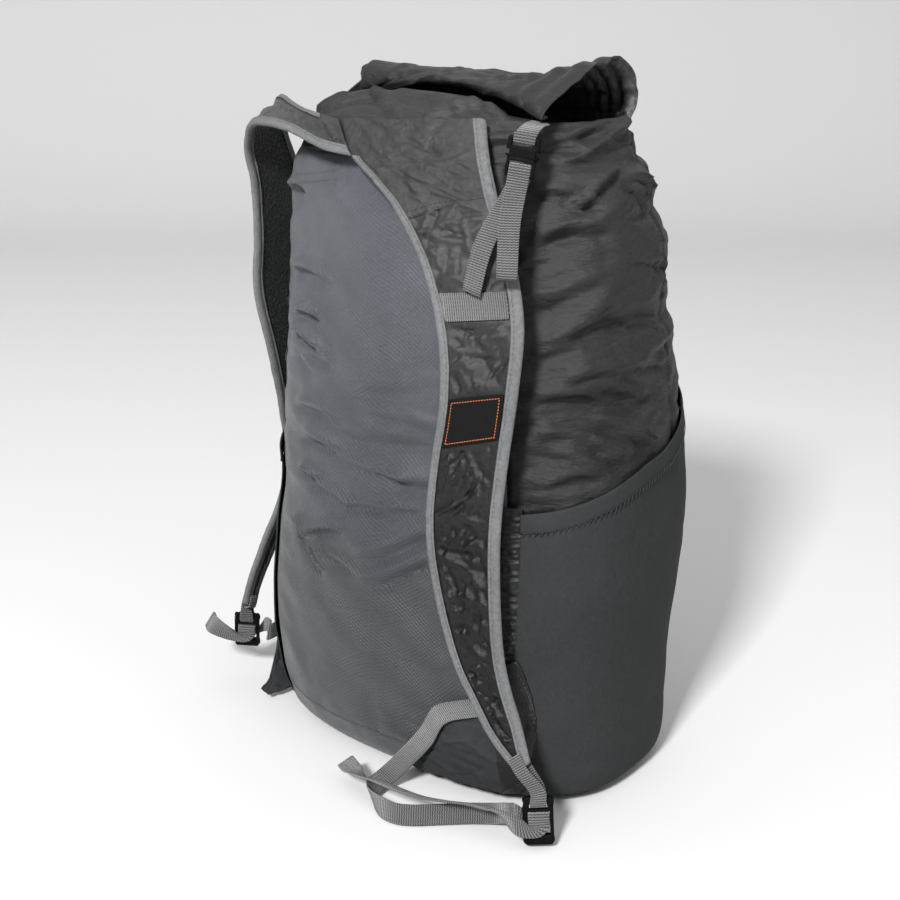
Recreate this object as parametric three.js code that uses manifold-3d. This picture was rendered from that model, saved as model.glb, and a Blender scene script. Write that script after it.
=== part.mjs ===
import * as THREE from 'three';
import Module from 'manifold-3d';

// Driving dimensions in mm. Z is up, the harness faces -Y, the wearer's left is +X.
const CLOTH = 2.0;
const GAP = 0.4;
const COLS = 36;
const NECK_Z = 462;
const BASE_RISE = 30;
const PANEL_FROM = -146;
const PANEL_TO = -54;
const POCKET_FROM = -52;
const POCKET_TO = 62;
const POCKET_THICK = 1.6;
const HEM_WIDE = 15;
const STRAP_THICK = 4.0;
const BIND_WIDE = 7.5;
const ROW_STEPS = 2;
const BIND_THICK = 1.0;
const WEB_WIDE = 15;
const WEB_THICK = 1.4;
const BAND_WIDE = 20;
const LOCK_WIDE = 21;
const LOCK_LONG = 34;
const LOCK_THICK = 3.6;
const CLIP_WIDE = 21;
const CLIP_THICK = 6;

// Body sections: half width, depth toward the harness, depth toward the front, shift in X, squareness.
const SECTIONS = [
  { z: 0, half: 140, near: 82, front: 93, shift: -3, power: 2.8 },
  { z: 3, half: 147, near: 89, front: 100, shift: -3, power: 2.8 },
  { z: 12, half: 155, near: 97, front: 106, shift: -4, power: 2.8 },
  { z: 40, half: 161, near: 105, front: 110, shift: -7, power: 2.7 },
  { z: 100, half: 164, near: 109, front: 114, shift: -9, power: 2.6 },
  { z: 160, half: 162, near: 110, front: 126, shift: -4, power: 2.6 },
  { z: 220, half: 159.5, near: 108, front: 132, shift: -1.5, power: 2.6 },
  { z: 300, half: 151.5, near: 103, front: 126, shift: -2.5, power: 2.6 },
  { z: 360, half: 147.7, near: 97, front: 114, shift: -3.7, power: 2.6 },
  { z: 420, half: 143.7, near: 89, front: 99, shift: -6.7, power: 2.6 },
  { z: 450, half: 140, near: 83, front: 85, shift: -9, power: 2.6 },
  { z: 466, half: 133, near: 80, front: 73, shift: -8, power: 2.6 },
  { z: 487, half: 123, near: 74, front: 66, shift: -6, power: 2.6 },
  { z: 498, half: 117, near: 58, front: 62, shift: -6, power: 2.6 },
  { z: 512, half: 110, near: 40, front: 60, shift: -5, power: 2.6 },
];

// Main dents of the soft wall: turn about Z, height, spread both ways, depth inward.
const DENTS = [
  { turn: 10, z: 352, wide: 34, tall: 12, deep: 5 },
  { turn: -20, z: 300, wide: 22, tall: 14, deep: 4 },
  { turn: 30, z: 428, wide: 24, tall: 11, deep: 3 },
  { turn: -150, z: 205, wide: 14, tall: 26, deep: 4 },
  { turn: -52, z: 210, wide: 9, tall: 70, deep: 3 },
];

// Height of the collar's free edge around the mouth.
const COLLAR_EDGE = [
  { turn: -216, z: 492 },
  { turn: -180, z: 494 },
  { turn: -140, z: 498 },
  { turn: -110, z: 505 },
  { turn: -80, z: 503 },
  { turn: -50, z: 492 },
  { turn: 0, z: 490 },
  { turn: 36, z: 492 },
];

// Rolled mouth: rows from the front wall over the top to the folded rim, at three places along X,
// and how far each row dips between the middle and the open end.
const ROLL_ROWS = [
  { xl: -100, yl: 50, zl: 488, ym: 66, zm: 490, xr: 100, yr: 57, zr: 492, dip: 0 },
  { xl: -100, yl: 38, zl: 505, ym: 54, zm: 505, xr: 103, yr: 50, zr: 513, dip: 4 },
  { xl: -100, yl: 18, zl: 519, ym: 30, zm: 517, xr: 105, yr: 32, zr: 526, dip: 7 },
  { xl: -99, yl: 2, zl: 523, ym: 4, zm: 520, xr: 106, yr: 10, zr: 530, dip: 8 },
  { xl: -98, yl: -10, zl: 515, ym: -20, zm: 518, xr: 107, yr: -28, zr: 518, dip: 5 },
  { xl: -97, yl: -14, zl: 502, ym: -35, zm: 512, xr: 108, yr: -70, zr: 497, dip: 0 },
  { xl: -96, yl: -9, zl: 498, ym: -31, zm: 508, xr: 107, yr: -72, zr: 491.5, dip: 0 },
  { xl: -95, yl: 2, zl: 501, ym: -20, zm: 511, xr: 106, yr: -62, zr: 492, dip: 0 },
];
const DIP_AT = 0.45;
const DIP_WIDE = 0.3;

// Yoke and wearer's left strap: inner edge, outer edge and bow of each cross row.
const LEFT_ROWS = [
  { xi: -62, yi: -74.5, zi: 485, xo: 63, yo: -72.5, zo: 490, bow: -5.3 },
  { xi: -36, yi: -93, zi: 463, xo: 75, yo: -84, zo: 466, bow: -3 },
  { xi: -13, yi: -99, zi: 449, xo: 82, yo: -89, zo: 454, bow: -1 },
  { xi: 8, yi: -102, zi: 433, xo: 88, yo: -92, zo: 442, bow: 0 },
  { xi: 36, yi: -107, zi: 400, xo: 106, yo: -98, zo: 406, bow: 0 },
  { xi: 56, yi: -113, zi: 356, xo: 119, yo: -105, zo: 366, bow: 0 },
  { xi: 62, yi: -118, zi: 310, xo: 119, yo: -110, zo: 323, bow: 0 },
  { xi: 55, yi: -120, zi: 259, xo: 115, yo: -114, zo: 278, bow: 0 },
  { xi: 52, yi: -121, zi: 216, xo: 111, yo: -116, zo: 234, bow: 0 },
  { xi: 58, yi: -121, zi: 175, xo: 111, yo: -117, zo: 192, bow: 0 },
  { xi: 75, yi: -120, zi: 121, xo: 115, yo: -117, zo: 138, bow: 0 },
  { xi: 89, yi: -119, zi: 97, xo: 121, yo: -117, zo: 114, bow: 0 },
  { xi: 107, yi: -119, zi: 72, xo: 130, yo: -117, zo: 91, bow: 0 },
  { xi: 126, yi: -119, zi: 50, xo: 142, yo: -117, zo: 65, bow: 0 },
];
const SEAM_ROW = 3;

// Wearer's right strap: arches off the yoke's end, then hangs beside the bag.
const RIGHT_ROWS = [
  { xi: -37, yi: -93, zi: 463, xo: -63, yo: -77, zo: 485, bow: 0 },
  { xi: -59, yi: -98, zi: 467, xo: -83, yo: -73, zo: 487, bow: 0 },
  { xi: -91, yi: -97, zi: 477, xo: -109, yo: -63, zo: 489, bow: 0 },
  { xi: -120, yi: -91, zi: 480, xo: -135, yo: -46, zo: 491, bow: 0 },
  { xi: -147, yi: -82, zi: 477, xo: -163, yo: -31, zo: 495, bow: 0 },
  { xi: -163, yi: -72, zi: 458, xo: -177, yo: -18, zo: 476, bow: 0 },
  { xi: -166, yi: -64, zi: 430, xo: -176, yo: -4, zo: 438, bow: 0 },
  { xi: -166, yi: -63, zi: 392, xo: -175, yo: -2, zo: 397, bow: 0 },
  { xi: -167, yi: -65, zi: 350, xo: -174, yo: -5, zo: 355, bow: 0 },
  { xi: -166, yi: -52, zi: 292, xo: -174, yo: 4, zo: 298, bow: 0 },
  { xi: -168, yi: -41, zi: 246, xo: -176, yo: 4, zo: 250, bow: 0 },
  { xi: -171, yi: -33, zi: 200, xo: -180, yo: -1, zo: 200, bow: 0 },
  { xi: -174, yi: -40, zi: 166, xo: -182, yo: -17, zo: 160, bow: 0 },
  { xi: -180, yi: -55, zi: 132, xo: -186, yo: -34, zo: 124, bow: 0 },
  { xi: -189, yi: -64, zi: 98, xo: -194, yo: -46, zo: 90, bow: 0 },
  { xi: -197, yi: -65, zi: 73, xo: -200, yo: -50, zo: 67, bow: 0 },
];

// Buckle places: first edge, direction of its length and of its width.
const LOCKS = {
  left: { at: [144.5, -114, 37], long: [0.17, -0.16, -0.97], wide: [-0.79, -0.61, -0.04] },
  right: { at: [-201, -58, 60], long: [-0.2, 0.15, -0.97], wide: [-0.79, -0.61, 0.06] },
};
const CLIPS = {
  left: { at: [106, -87, 482], long: [-0.1, -0.12, -0.98], wide: [-0.86, -0.5, 0.12] },
  right: { at: [-146, 14, 490], long: [-0.36, -0.06, -0.93], wide: [-0.1, 0.99, -0.06] },
};

const wasm = await Module();
wasm.setup();
const part = new THREE.Group();
part.name = 'dry_bag_backpack';

const PAINT = {
  ripstop: [0x6a6e75, 0.55],
  nylon: [0x3d3f41, 0.6],
  stretch: [0x454b4b, 0.8],
  mesh: [0x303233, 0.85],
  grosgrain: [0x9a9ca0, 0.75],
  webbing: [0x85888a, 0.8],
  plastic: [0x17181a, 0.4],
  label: [0x141415, 0.8],
};

function addNode(name, geometry, paint) {
  const [color, roughness] = PAINT[paint];
  const material = new THREE.MeshStandardMaterial({ color, roughness, metalness: 0 });
  const mesh = new THREE.Mesh(geometry, material);
  mesh.name = name;
  part.add(mesh);
}

const vec = (x, y, z) => new THREE.Vector3(x, y, z);

function smooth(rows, key, at, field) {
  let i = 0;
  while (i < rows.length - 2 && rows[i + 1][key] < at) i += 1;
  const p1 = rows[i];
  const p2 = rows[i + 1];
  const p0 = rows[Math.max(i - 1, 0)];
  const p3 = rows[Math.min(i + 2, rows.length - 1)];
  const span = p2[key] - p1[key];
  const t = THREE.MathUtils.clamp((at - p1[key]) / span, 0, 1);
  const m1 = p0 === p1 ? p2[field] - p1[field] : (p2[field] - p0[field]) * span / (p2[key] - p0[key]);
  const m2 = p3 === p2 ? p2[field] - p1[field] : (p3[field] - p1[field]) * span / (p3[key] - p1[key]);
  const t2 = t * t;
  const t3 = t2 * t;
  return (2 * t3 - 3 * t2 + 1) * p1[field] + (t3 - 2 * t2 + t) * m1
    + (3 * t2 - 2 * t3) * p2[field] + (t3 - t2) * m2;
}

function wrapTurn(turn) {
  return ((turn + 180) % 360 + 360) % 360 - 180;
}

// Point of the body's wall at a turn about Z (0 is +X) and a height, moved outward by `out`.
function wall(turn, z, out = 0) {
  const c = Math.cos(THREE.MathUtils.degToRad(turn));
  const s = Math.sin(THREE.MathUtils.degToRad(turn));
  const power = 2 / smooth(SECTIONS, 'z', z, 'power');
  let push = out;
  for (const dent of DENTS) {
    const across = wrapTurn(turn - dent.turn) / dent.wide;
    const up = (z - dent.z) / dent.tall;
    push -= dent.deep * Math.exp(-across * across - up * up);
  }
  const half = smooth(SECTIONS, 'z', z, 'half') + push;
  const deep = smooth(SECTIONS, 'z', z, s < 0 ? 'near' : 'front') + push;
  const x = smooth(SECTIONS, 'z', z, 'shift') + half * Math.sign(c) * Math.abs(c) ** power;
  return vec(x, deep * Math.sign(s) * Math.abs(s) ** power, z);
}

function range(from, to, steps) {
  return Array.from({ length: steps + 1 }, (_, i) => from + (to - from) * i / steps);
}

function toGeometry(points, faces) {
  let volume = 0;
  for (const [a, b, c] of faces) volume += points[a].dot(points[b].clone().cross(points[c]));
  const index = volume > 0 ? faces.flat() : faces.map(([a, b, c]) => [a, c, b]).flat();
  const geometry = new THREE.BufferGeometry().setFromPoints(points);
  geometry.setIndex(index);
  geometry.computeVertexNormals();
  return geometry;
}

// Closed solid between two grids of points. `keep` says which cells are cloth, `ring` joins the ends.
function clothSolid(outer, inner, { ring = false, keep = () => true } = {}) {
  const rows = outer.length;
  const cols = outer[0].length;
  const points = [...outer.flat(), ...inner.flat()];
  const at = (side, r, c) => side * rows * cols + r * cols + (c % cols);
  const faces = [];
  const lastCol = ring ? cols : cols - 1;
  const cloth = (r, c) => {
    if (r < 0 || r >= rows - 1) return false;
    if (!ring && (c < 0 || c >= lastCol)) return false;
    return keep(r, (c + lastCol) % lastCol);
  };
  const quad = (a, b, c, d) => faces.push([a, b, c], [a, c, d]);
  for (let r = 0; r < rows - 1; r += 1) {
    for (let c = 0; c < lastCol; c += 1) {
      if (!cloth(r, c)) continue;
      const next = c + 1;
      quad(at(0, r, c), at(0, r, next), at(0, r + 1, next), at(0, r + 1, c));
      quad(at(1, r, c), at(1, r + 1, c), at(1, r + 1, next), at(1, r, next));
      if (!cloth(r - 1, c)) quad(at(0, r, c), at(1, r, c), at(1, r, next), at(0, r, next));
      if (!cloth(r + 1, c)) {
        quad(at(0, r + 1, c), at(0, r + 1, next), at(1, r + 1, next), at(1, r + 1, c));
      }
      if (!cloth(r, c - 1)) quad(at(0, r, c), at(0, r + 1, c), at(1, r + 1, c), at(1, r, c));
      if (!cloth(r, c + 1)) {
        quad(at(0, r, next), at(1, r, next), at(1, r + 1, next), at(0, r + 1, next));
      }
    }
  }
  const used = new Map();
  const kept = [];
  const renumber = (i) => {
    if (!used.has(i)) {
      used.set(i, kept.length);
      kept.push(points[i]);
    }
    return used.get(i);
  };
  return toGeometry(kept, faces.map((face) => face.map(renumber)));
}

// Cross frames of a flat strap given by its two edges.
function strapFrames(rows, steps) {
  const edge = (side) => new THREE.CatmullRomCurve3(
    rows.map((row) => vec(row['x' + side], row['y' + side], row['z' + side])), false, 'centripetal');
  const inner = edge('i');
  const outer = edge('o');
  const bows = rows.map((row, i) => ({ i, bow: row.bow }));
  return range(0, 1, steps).map((t) => {
    const a = inner.getPoint(t);
    const b = outer.getPoint(t);
    const along = inner.getTangent(t).add(outer.getTangent(t)).normalize();
    const across = b.clone().sub(a).normalize();
    const normal = across.clone().cross(along).normalize();
    return { a, b, along, across, normal, bow: smooth(bows, 'i', t * (rows.length - 1), 'bow') };
  });
}

function onStrap(frame, share, lift) {
  const point = frame.a.clone().lerp(frame.b, share);
  point.y += frame.bow * (1 - (2 * share - 1) ** 2);
  return point.addScaledVector(frame.normal, lift);
}

function strapSolid(frames, across, thick, lift = 0, from = () => 0, to = () => 1) {
  const grid = (high) => frames.map((frame) => range(from(frame), to(frame), across)
    .map((share) => onStrap(frame, share, high)));
  return clothSolid(grid(lift + thick / 2), grid(lift - thick / 2));
}

// Folded tape round a strap's edge: a C section swept along the edge.
function bindingSolid(frames, side, loose = 0.2) {
  const high = STRAP_THICK / 2 + GAP + loose;
  const top = high + BIND_THICK;
  const tape = (frame) => {
    const width = frame.a.distanceTo(frame.b);
    const reach = Math.min(BIND_WIDE, width * 0.4);
    const edge = side === 'i' ? frame.a : frame.b;
    const share = side === 'i' ? reach / width : 1 - reach / width;
    const into = onStrap(frame, share, 0).sub(edge).normalize();
    const normal = (side === 'i' ? into.clone() : into.clone().negate()).cross(frame.along).normalize();
    const spot = (deep, lift) => edge.clone().addScaledVector(into, deep).addScaledVector(normal, lift);
    return [
      [spot(reach, top), spot(-GAP - BIND_THICK, top), spot(-GAP - BIND_THICK, -top), spot(reach, -top)],
      [spot(reach, high), spot(-GAP, high), spot(-GAP, -high), spot(reach, -high)],
    ];
  };
  const tapes = frames.map(tape);
  return clothSolid(tapes.map((t) => t[0]), tapes.map((t) => t[1]));
}

// Flat webbing along a table of places, each with the direction of its width.
function webbingSolid(rows, steps, wide = WEB_WIDE, thick = WEB_THICK) {
  const before = vec(0, 0, 0);
  const edges = rows.map((row) => {
    const w = vec(row.wx, row.wy, row.wz).normalize().multiplyScalar(wide / 2);
    if (w.dot(before) < 0) w.negate();
    before.copy(w);
    return {
      xi: row.x - w.x, yi: row.y - w.y, zi: row.z - w.z,
      xo: row.x + w.x, yo: row.y + w.y, zo: row.z + w.z, bow: 0,
    };
  });
  return strapSolid(strapFrames(edges, steps), 1, thick);
}

// Bag shell: walls, front and base. The harness panel fills the opening left in it.
const shellZ = [0, 3, 12, BASE_RISE, 68, 110, 155, 200, 240, 276, 308, 334, 356, 380, 408, 434, NECK_Z];
const turns = range(-180, 180 - 360 / COLS, COLS - 1);
const panelCell = (r, c) => {
  const middle = turns[c] + 180 / COLS;
  return shellZ[r] >= BASE_RISE && middle > PANEL_FROM && middle < PANEL_TO;
};
const shellRows = (out) => shellZ.map((z) => turns.map((turn) => wall(turn, z, out)));
const shellOuter = shellRows(0);
const shellInner = shellRows(-CLOTH);
for (const point of shellInner[0]) point.z = CLOTH;
for (const point of shellInner[1]) point.z = CLOTH + 2.5;
const halfOut = shellOuter[0].map((p) => vec((p.x + 7) * 0.5 - 7, p.y * 0.5, 0));
const halfIn = shellInner[0].map((p) => vec((p.x + 7) * 0.5 - 7, p.y * 0.5, CLOTH));
const shellWalls = clothSolid([halfOut, ...shellOuter], [halfIn, ...shellInner], {
  ring: true,
  keep: (r, c) => r === 0 || !panelCell(r - 1, c),
});

function toManifold(geometry) {
  const vertProperties = new Float32Array(geometry.attributes.position.array);
  const triVerts = new Uint32Array(geometry.index.array);
  const mesh = new wasm.Mesh({ numProp: 3, vertProperties, triVerts });
  mesh.merge();
  return new wasm.Manifold(mesh);
}

function fromManifold(solid) {
  const mesh = solid.getMesh();
  const geometry = new THREE.BufferGeometry();
  const points = [];
  for (let i = 0; i < mesh.vertProperties.length; i += mesh.numProp) {
    points.push(mesh.vertProperties[i], mesh.vertProperties[i + 1], mesh.vertProperties[i + 2]);
  }
  geometry.setAttribute('position', new THREE.Float32BufferAttribute(points, 3));
  geometry.setIndex(Array.from(mesh.triVerts));
  geometry.computeVertexNormals();
  return geometry;
}

// The base is one disc under the walls' rounded foot.
const foot = new THREE.Shape(shellOuter[0].map((p) => new THREE.Vector2((p.x + 7) * 0.52 - 7, p.y * 0.52)));
const disc = new THREE.ExtrudeGeometry(foot, { depth: CLOTH, bevelEnabled: false });

function mergeByPlace(geometry) {
  const position = geometry.attributes.position;
  const seen = new Map();
  const points = [];
  const index = [];
  for (let i = 0; i < position.count; i += 1) {
    const key = [position.getX(i), position.getY(i), position.getZ(i)].map((v) => v.toFixed(4)).join();
    if (!seen.has(key)) {
      seen.set(key, points.length);
      points.push(vec(position.getX(i), position.getY(i), position.getZ(i)));
    }
    index.push(seen.get(key));
  }
  const merged = new THREE.BufferGeometry().setFromPoints(points);
  merged.setIndex(index);
  return merged;
}

const shellSolid = toManifold(shellWalls).add(toManifold(mergeByPlace(disc)));
addNode('bag_shell', fromManifold(shellSolid), 'nylon');

// Harness panel: the lighter cloth that lies against the wearer's back.
const panelCells = turns.map((turn, c) => c).filter((c) => panelCell(4, c));
const panelEdges = turns.slice(panelCells[0], panelCells[panelCells.length - 1] + 2);
const panelZ = shellZ.filter((z) => z >= BASE_RISE);
panelEdges[0] += 0.3;
panelEdges[panelEdges.length - 1] -= 0.3;
const panelRows = (out) => panelZ.map((z, r) => {
  const high = r === 0 ? z + GAP : z;
  return panelEdges.map((turn) => wall(turn, high, out));
});
addNode('harness_panel', clothSolid(panelRows(0), panelRows(-CLOTH)), 'ripstop');

// Collar: harness side and ends of the mouth, leaning in under the rolled flap.
const COLLAR_FROM = -216;
const COLLAR_TO = 36;
const collarTurns = range(COLLAR_FROM, COLLAR_TO, 26);
const collarRows = (out) => range(0, 1, 4).map((v) => collarTurns.map((turn) => {
  const top = smooth(COLLAR_EDGE, 'turn', turn, 'z');
  const z = NECK_Z + GAP + (top - NECK_Z - GAP) * v;
  return wall(turn, z, out);
}));
addNode('mouth_collar', clothSolid(collarRows(0), collarRows(-CLOTH)), 'nylon');

// Rolled mouth: the front wall carried over the top and folded under at its rim.
const ROLL_ACROSS = 12;
function rollPoint(u, row) {
  const side = (u + 1) / 2;
  const l = 2 * (side - 0.5) * (side - 1);
  const m = 4 * side * (1 - side);
  const r = 2 * side * (side - 0.5);
  const x = row.xl * (1 - side) + row.xr * side;
  const dip = row.dip * Math.exp(-(((u - DIP_AT) / DIP_WIDE) ** 2));
  return vec(x, row.yl * l + row.ym * m + row.yr * r, row.zl * l + row.zm * m + row.zr * r - dip);
}
const rollTurns = range(141, 39, ROLL_ACROSS);
const rollFoot = rollTurns.map((turn) => wall(turn, NECK_Z + GAP + 0.7, -CLOTH / 2));
const rollNeck = rollTurns.map((turn) => wall(turn, NECK_Z + 14, -CLOTH / 2));
const rollUs = range(-1, 1, ROLL_ACROSS);
const rollCurves = rollUs.map((u, i) => new THREE.CatmullRomCurve3(
  [rollFoot[i], rollNeck[i], ...ROLL_ROWS.map((row) => rollPoint(u, row))], false, 'centripetal'));
const ROLL_STEPS = 15;
const rollMid = range(0, 1, ROLL_STEPS).map((t) => rollCurves.map((curve) => curve.getPoint(t)));
function gridNormal(grid, r, c) {
  const up = grid[Math.min(r + 1, grid.length - 1)][c].clone().sub(grid[Math.max(r - 1, 0)][c]);
  const row = grid[r];
  const side = row[Math.min(c + 1, row.length - 1)].clone().sub(row[Math.max(c - 1, 0)]);
  return side.cross(up).normalize();
}
const rollSide = (lift) => rollMid.map((row, r) => row.map(
  (point, c) => point.clone().addScaledVector(gridNormal(rollMid, r, c), lift)));
addNode('roll_top', clothSolid(rollSide(CLOTH / 2), rollSide(-CLOTH / 2)), 'nylon');

// Yoke and left strap share one run of cross frames, parted at the stitched seam.
const LEFT_STEPS = (LEFT_ROWS.length - 1) * ROW_STEPS;
const leftFrames = strapFrames(LEFT_ROWS, LEFT_STEPS);
const seamAt = SEAM_ROW * ROW_STEPS;
const yokeFrames = leftFrames.slice(0, seamAt + 1);
const leftStrapFrames = leftFrames.slice(seamAt);
const shiftedFrame = (frame, by) => ({
  ...frame,
  a: frame.a.clone().addScaledVector(frame.along, by),
  b: frame.b.clone().addScaledVector(frame.along, by),
});
leftStrapFrames[0] = shiftedFrame(leftStrapFrames[0], GAP);
addNode('yoke', strapSolid(yokeFrames, 6, STRAP_THICK), 'nylon');
addNode('left_strap', strapSolid(leftStrapFrames, 3, STRAP_THICK), 'mesh');

const RIGHT_STEPS = (RIGHT_ROWS.length - 1) * ROW_STEPS;
const rightFrames = strapFrames(RIGHT_ROWS, RIGHT_STEPS);
rightFrames[0] = shiftedFrame(rightFrames[0], 1.2);
addNode('right_strap', strapSolid(rightFrames, 3, STRAP_THICK), 'mesh');

addNode('left_inner_binding', bindingSolid(leftFrames.slice(3, -1), 'i'), 'grosgrain');
addNode('left_outer_binding', bindingSolid(leftFrames.slice(0, -1), 'o'), 'grosgrain');
addNode('right_inner_binding', bindingSolid(rightFrames.slice(1, -1), 'i'), 'grosgrain');
addNode('right_outer_binding', bindingSolid(rightFrames.slice(2, -1), 'o', 0.5), 'grosgrain');

// Chest bands: wide webbing sewn across each strap between the bindings.
const inset = (frame) => (BIND_WIDE + 2) / frame.a.distanceTo(frame.b);
const onFace = STRAP_THICK / 2 + GAP + WEB_THICK / 2;
function acrossPiece(rows, row, long, thick, lift) {
  const fine = strapFrames(rows, (rows.length - 1) * 40);
  const middle = row * 40;
  const reach = fine[Math.round(middle)].a.distanceTo(fine[Math.round(middle) + 4].a) / 4;
  const half = Math.round(long / 2 / reach);
  const frames = [-1, 0, 1].map((side) => fine[Math.round(middle) + side * half]);
  return strapSolid(frames, 3, thick, lift, inset, (frame) => 1 - inset(frame));
}
addNode('left_chest_band', acrossPiece(LEFT_ROWS, 4.7, BAND_WIDE, WEB_THICK, -onFace), 'webbing');
addNode('right_chest_band', acrossPiece(RIGHT_ROWS, 7, BAND_WIDE, WEB_THICK, onFace), 'webbing');
addNode('left_label', acrossPiece(LEFT_ROWS, 6.35, 36, 1.0, -(STRAP_THICK / 2 + GAP + 0.5)), 'label');

// Places on a buckle: across its width, along its length and out of its face.
function buckleFrame(place) {
  const long = vec(...place.long).normalize();
  const face = vec(...place.wide).cross(long).normalize();
  const wide = long.clone().cross(face).normalize();
  const at = vec(...place.at);
  const spot = (across, along, out) => at.clone().addScaledVector(wide, across)
    .addScaledVector(long, along).addScaledVector(face, out);
  const matrix = new THREE.Matrix4().makeBasis(wide, long, face.clone());
  matrix.setPosition(at);
  return { spot, matrix, wide, long, face };
}

function plate(wide, from, to, thick, slots, corner) {
  const shape = new THREE.Shape();
  const w = wide / 2;
  const k = corner;
  shape.moveTo(-w + k, from);
  shape.lineTo(w - k, from);
  shape.lineTo(w, from + k);
  shape.lineTo(w, to - k);
  shape.lineTo(w - k, to);
  shape.lineTo(-w + k, to);
  shape.lineTo(-w, to - k);
  shape.lineTo(-w, from + k);
  shape.closePath();
  for (const slot of slots) {
    const hole = new THREE.Path();
    hole.moveTo(-slot.wide / 2, slot.from);
    hole.lineTo(-slot.wide / 2, slot.to);
    hole.lineTo(slot.wide / 2, slot.to);
    hole.lineTo(slot.wide / 2, slot.from);
    hole.closePath();
    shape.holes.push(hole);
  }
  const geometry = new THREE.ExtrudeGeometry(shape, { depth: thick, bevelEnabled: false });
  geometry.translate(0, 0, -thick / 2);
  return mergeByPlace(geometry);
}

function placed(geometry, frame) {
  const turned = geometry.clone().applyMatrix4(frame.matrix);
  const points = [];
  for (let i = 0; i < turned.attributes.position.count; i += 1) {
    points.push(new THREE.Vector3().fromBufferAttribute(turned.attributes.position, i));
  }
  const faces = [];
  const index = turned.index.array;
  for (let i = 0; i < index.length; i += 3) faces.push([index[i], index[i + 1], index[i + 2]]);
  return toGeometry(points, faces);
}

const row = (point, wide) => ({ x: point.x, y: point.y, z: point.z, wx: wide.x, wy: wide.y, wz: wide.z });
const place = (x, y, z, wx, wy, wz) => ({ x, y, z, wx, wy, wz });

// Ladder locks under the straps, each held by a short loop of webbing.
const TAB_WIDE = 13;
const SLOTS = [{ from: 5, to: 14, wide: 16 }, { from: 19, to: 27, wide: 16 }];
const OVER = LOCK_THICK / 2 + GAP + WEB_THICK / 2 + 0.3;
function strapTab(frame, frames, facing) {
  const last = frames[frames.length - 1];
  const middle = onStrap(last, 0.5, 0);
  const back = middle.clone().addScaledVector(last.along, -10);
  const out = last.normal.clone().multiplyScalar(facing);
  const face = STRAP_THICK / 2 + GAP + 1.2;
  const wide = last.across.clone();
  const blend = wide.clone().add(frame.wide).normalize();
  const rows = [
    row(back.clone().addScaledVector(out, face), wide),
    row(middle.clone().addScaledVector(last.along, 1).addScaledVector(out, face), wide),
    row(frame.spot(0, -4, OVER + 1), blend),
    row(frame.spot(0, 2.5, OVER + 0.4), frame.wide),
    row(frame.spot(0, 6.6, OVER * 0.6), frame.wide),
    row(frame.spot(0, 7.2, 0), frame.wide),
    row(frame.spot(0, 6.6, -OVER * 0.6), frame.wide),
    row(frame.spot(0, 2.5, -OVER - 0.4), frame.wide),
    row(frame.spot(0, -4, -OVER - 1), blend),
    row(middle.clone().addScaledVector(last.along, 1).addScaledVector(out, -face), wide),
    row(back.clone().addScaledVector(out, -face), wide),
  ];
  return webbingSolid(rows, 20, TAB_WIDE * 0.62, 1.0);
}

const leftLock = buckleFrame(LOCKS.left);
const rightLock = buckleFrame(LOCKS.right);
const lockPlate = plate(LOCK_WIDE, 0, LOCK_LONG, LOCK_THICK, SLOTS, 3);
addNode('left_ladder_lock', placed(lockPlate, leftLock), 'plastic');
addNode('right_ladder_lock', placed(lockPlate, rightLock), 'plastic');
addNode('left_lock_loop', strapTab(leftLock, leftFrames, -1), 'webbing');
addNode('right_lock_loop', strapTab(rightLock, rightFrames, 1), 'webbing');

// Anchor wings: cloth tabs at the foot of the side seams that hold the lower webbing.
const LEFT_WING = [
  { turn: -44, low: 56, high: 78, out: 4.0 },
  { turn: -46, low: 42, high: 98, out: 4.6 },
  { turn: -51, low: 16, high: 122, out: 5.0 },
  { turn: -58, low: 12, high: 108, out: 5.0 },
  { turn: -65, low: 11, high: 86, out: 5.0 },
  { turn: -75, low: 10, high: 60, out: 4.6 },
  { turn: -87, low: 9, high: 14, out: 3.6 },
];
const RIGHT_WING = [
  { turn: -146, low: 5, high: 10, out: 27 },
  { turn: -149, low: 5, high: 18, out: 17 },
  { turn: -153, low: 7, high: 40, out: 7 },
  { turn: -158, low: 10, high: 66, out: 4.6 },
  { turn: -164, low: 30, high: 72, out: 4.2 },
];
function wingSolid(rows, steps) {
  const grid = (lift) => rows.map((wing) => range(wing.low, wing.high, steps)
    .map((z) => wall(wing.turn, z, wing.out + lift)));
  return clothSolid(grid(0.8), grid(-0.8));
}
addNode('left_anchor_wing', wingSolid(LEFT_WING, 4), 'nylon');
addNode('right_anchor_wing', wingSolid(RIGHT_WING, 3), 'nylon');

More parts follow.
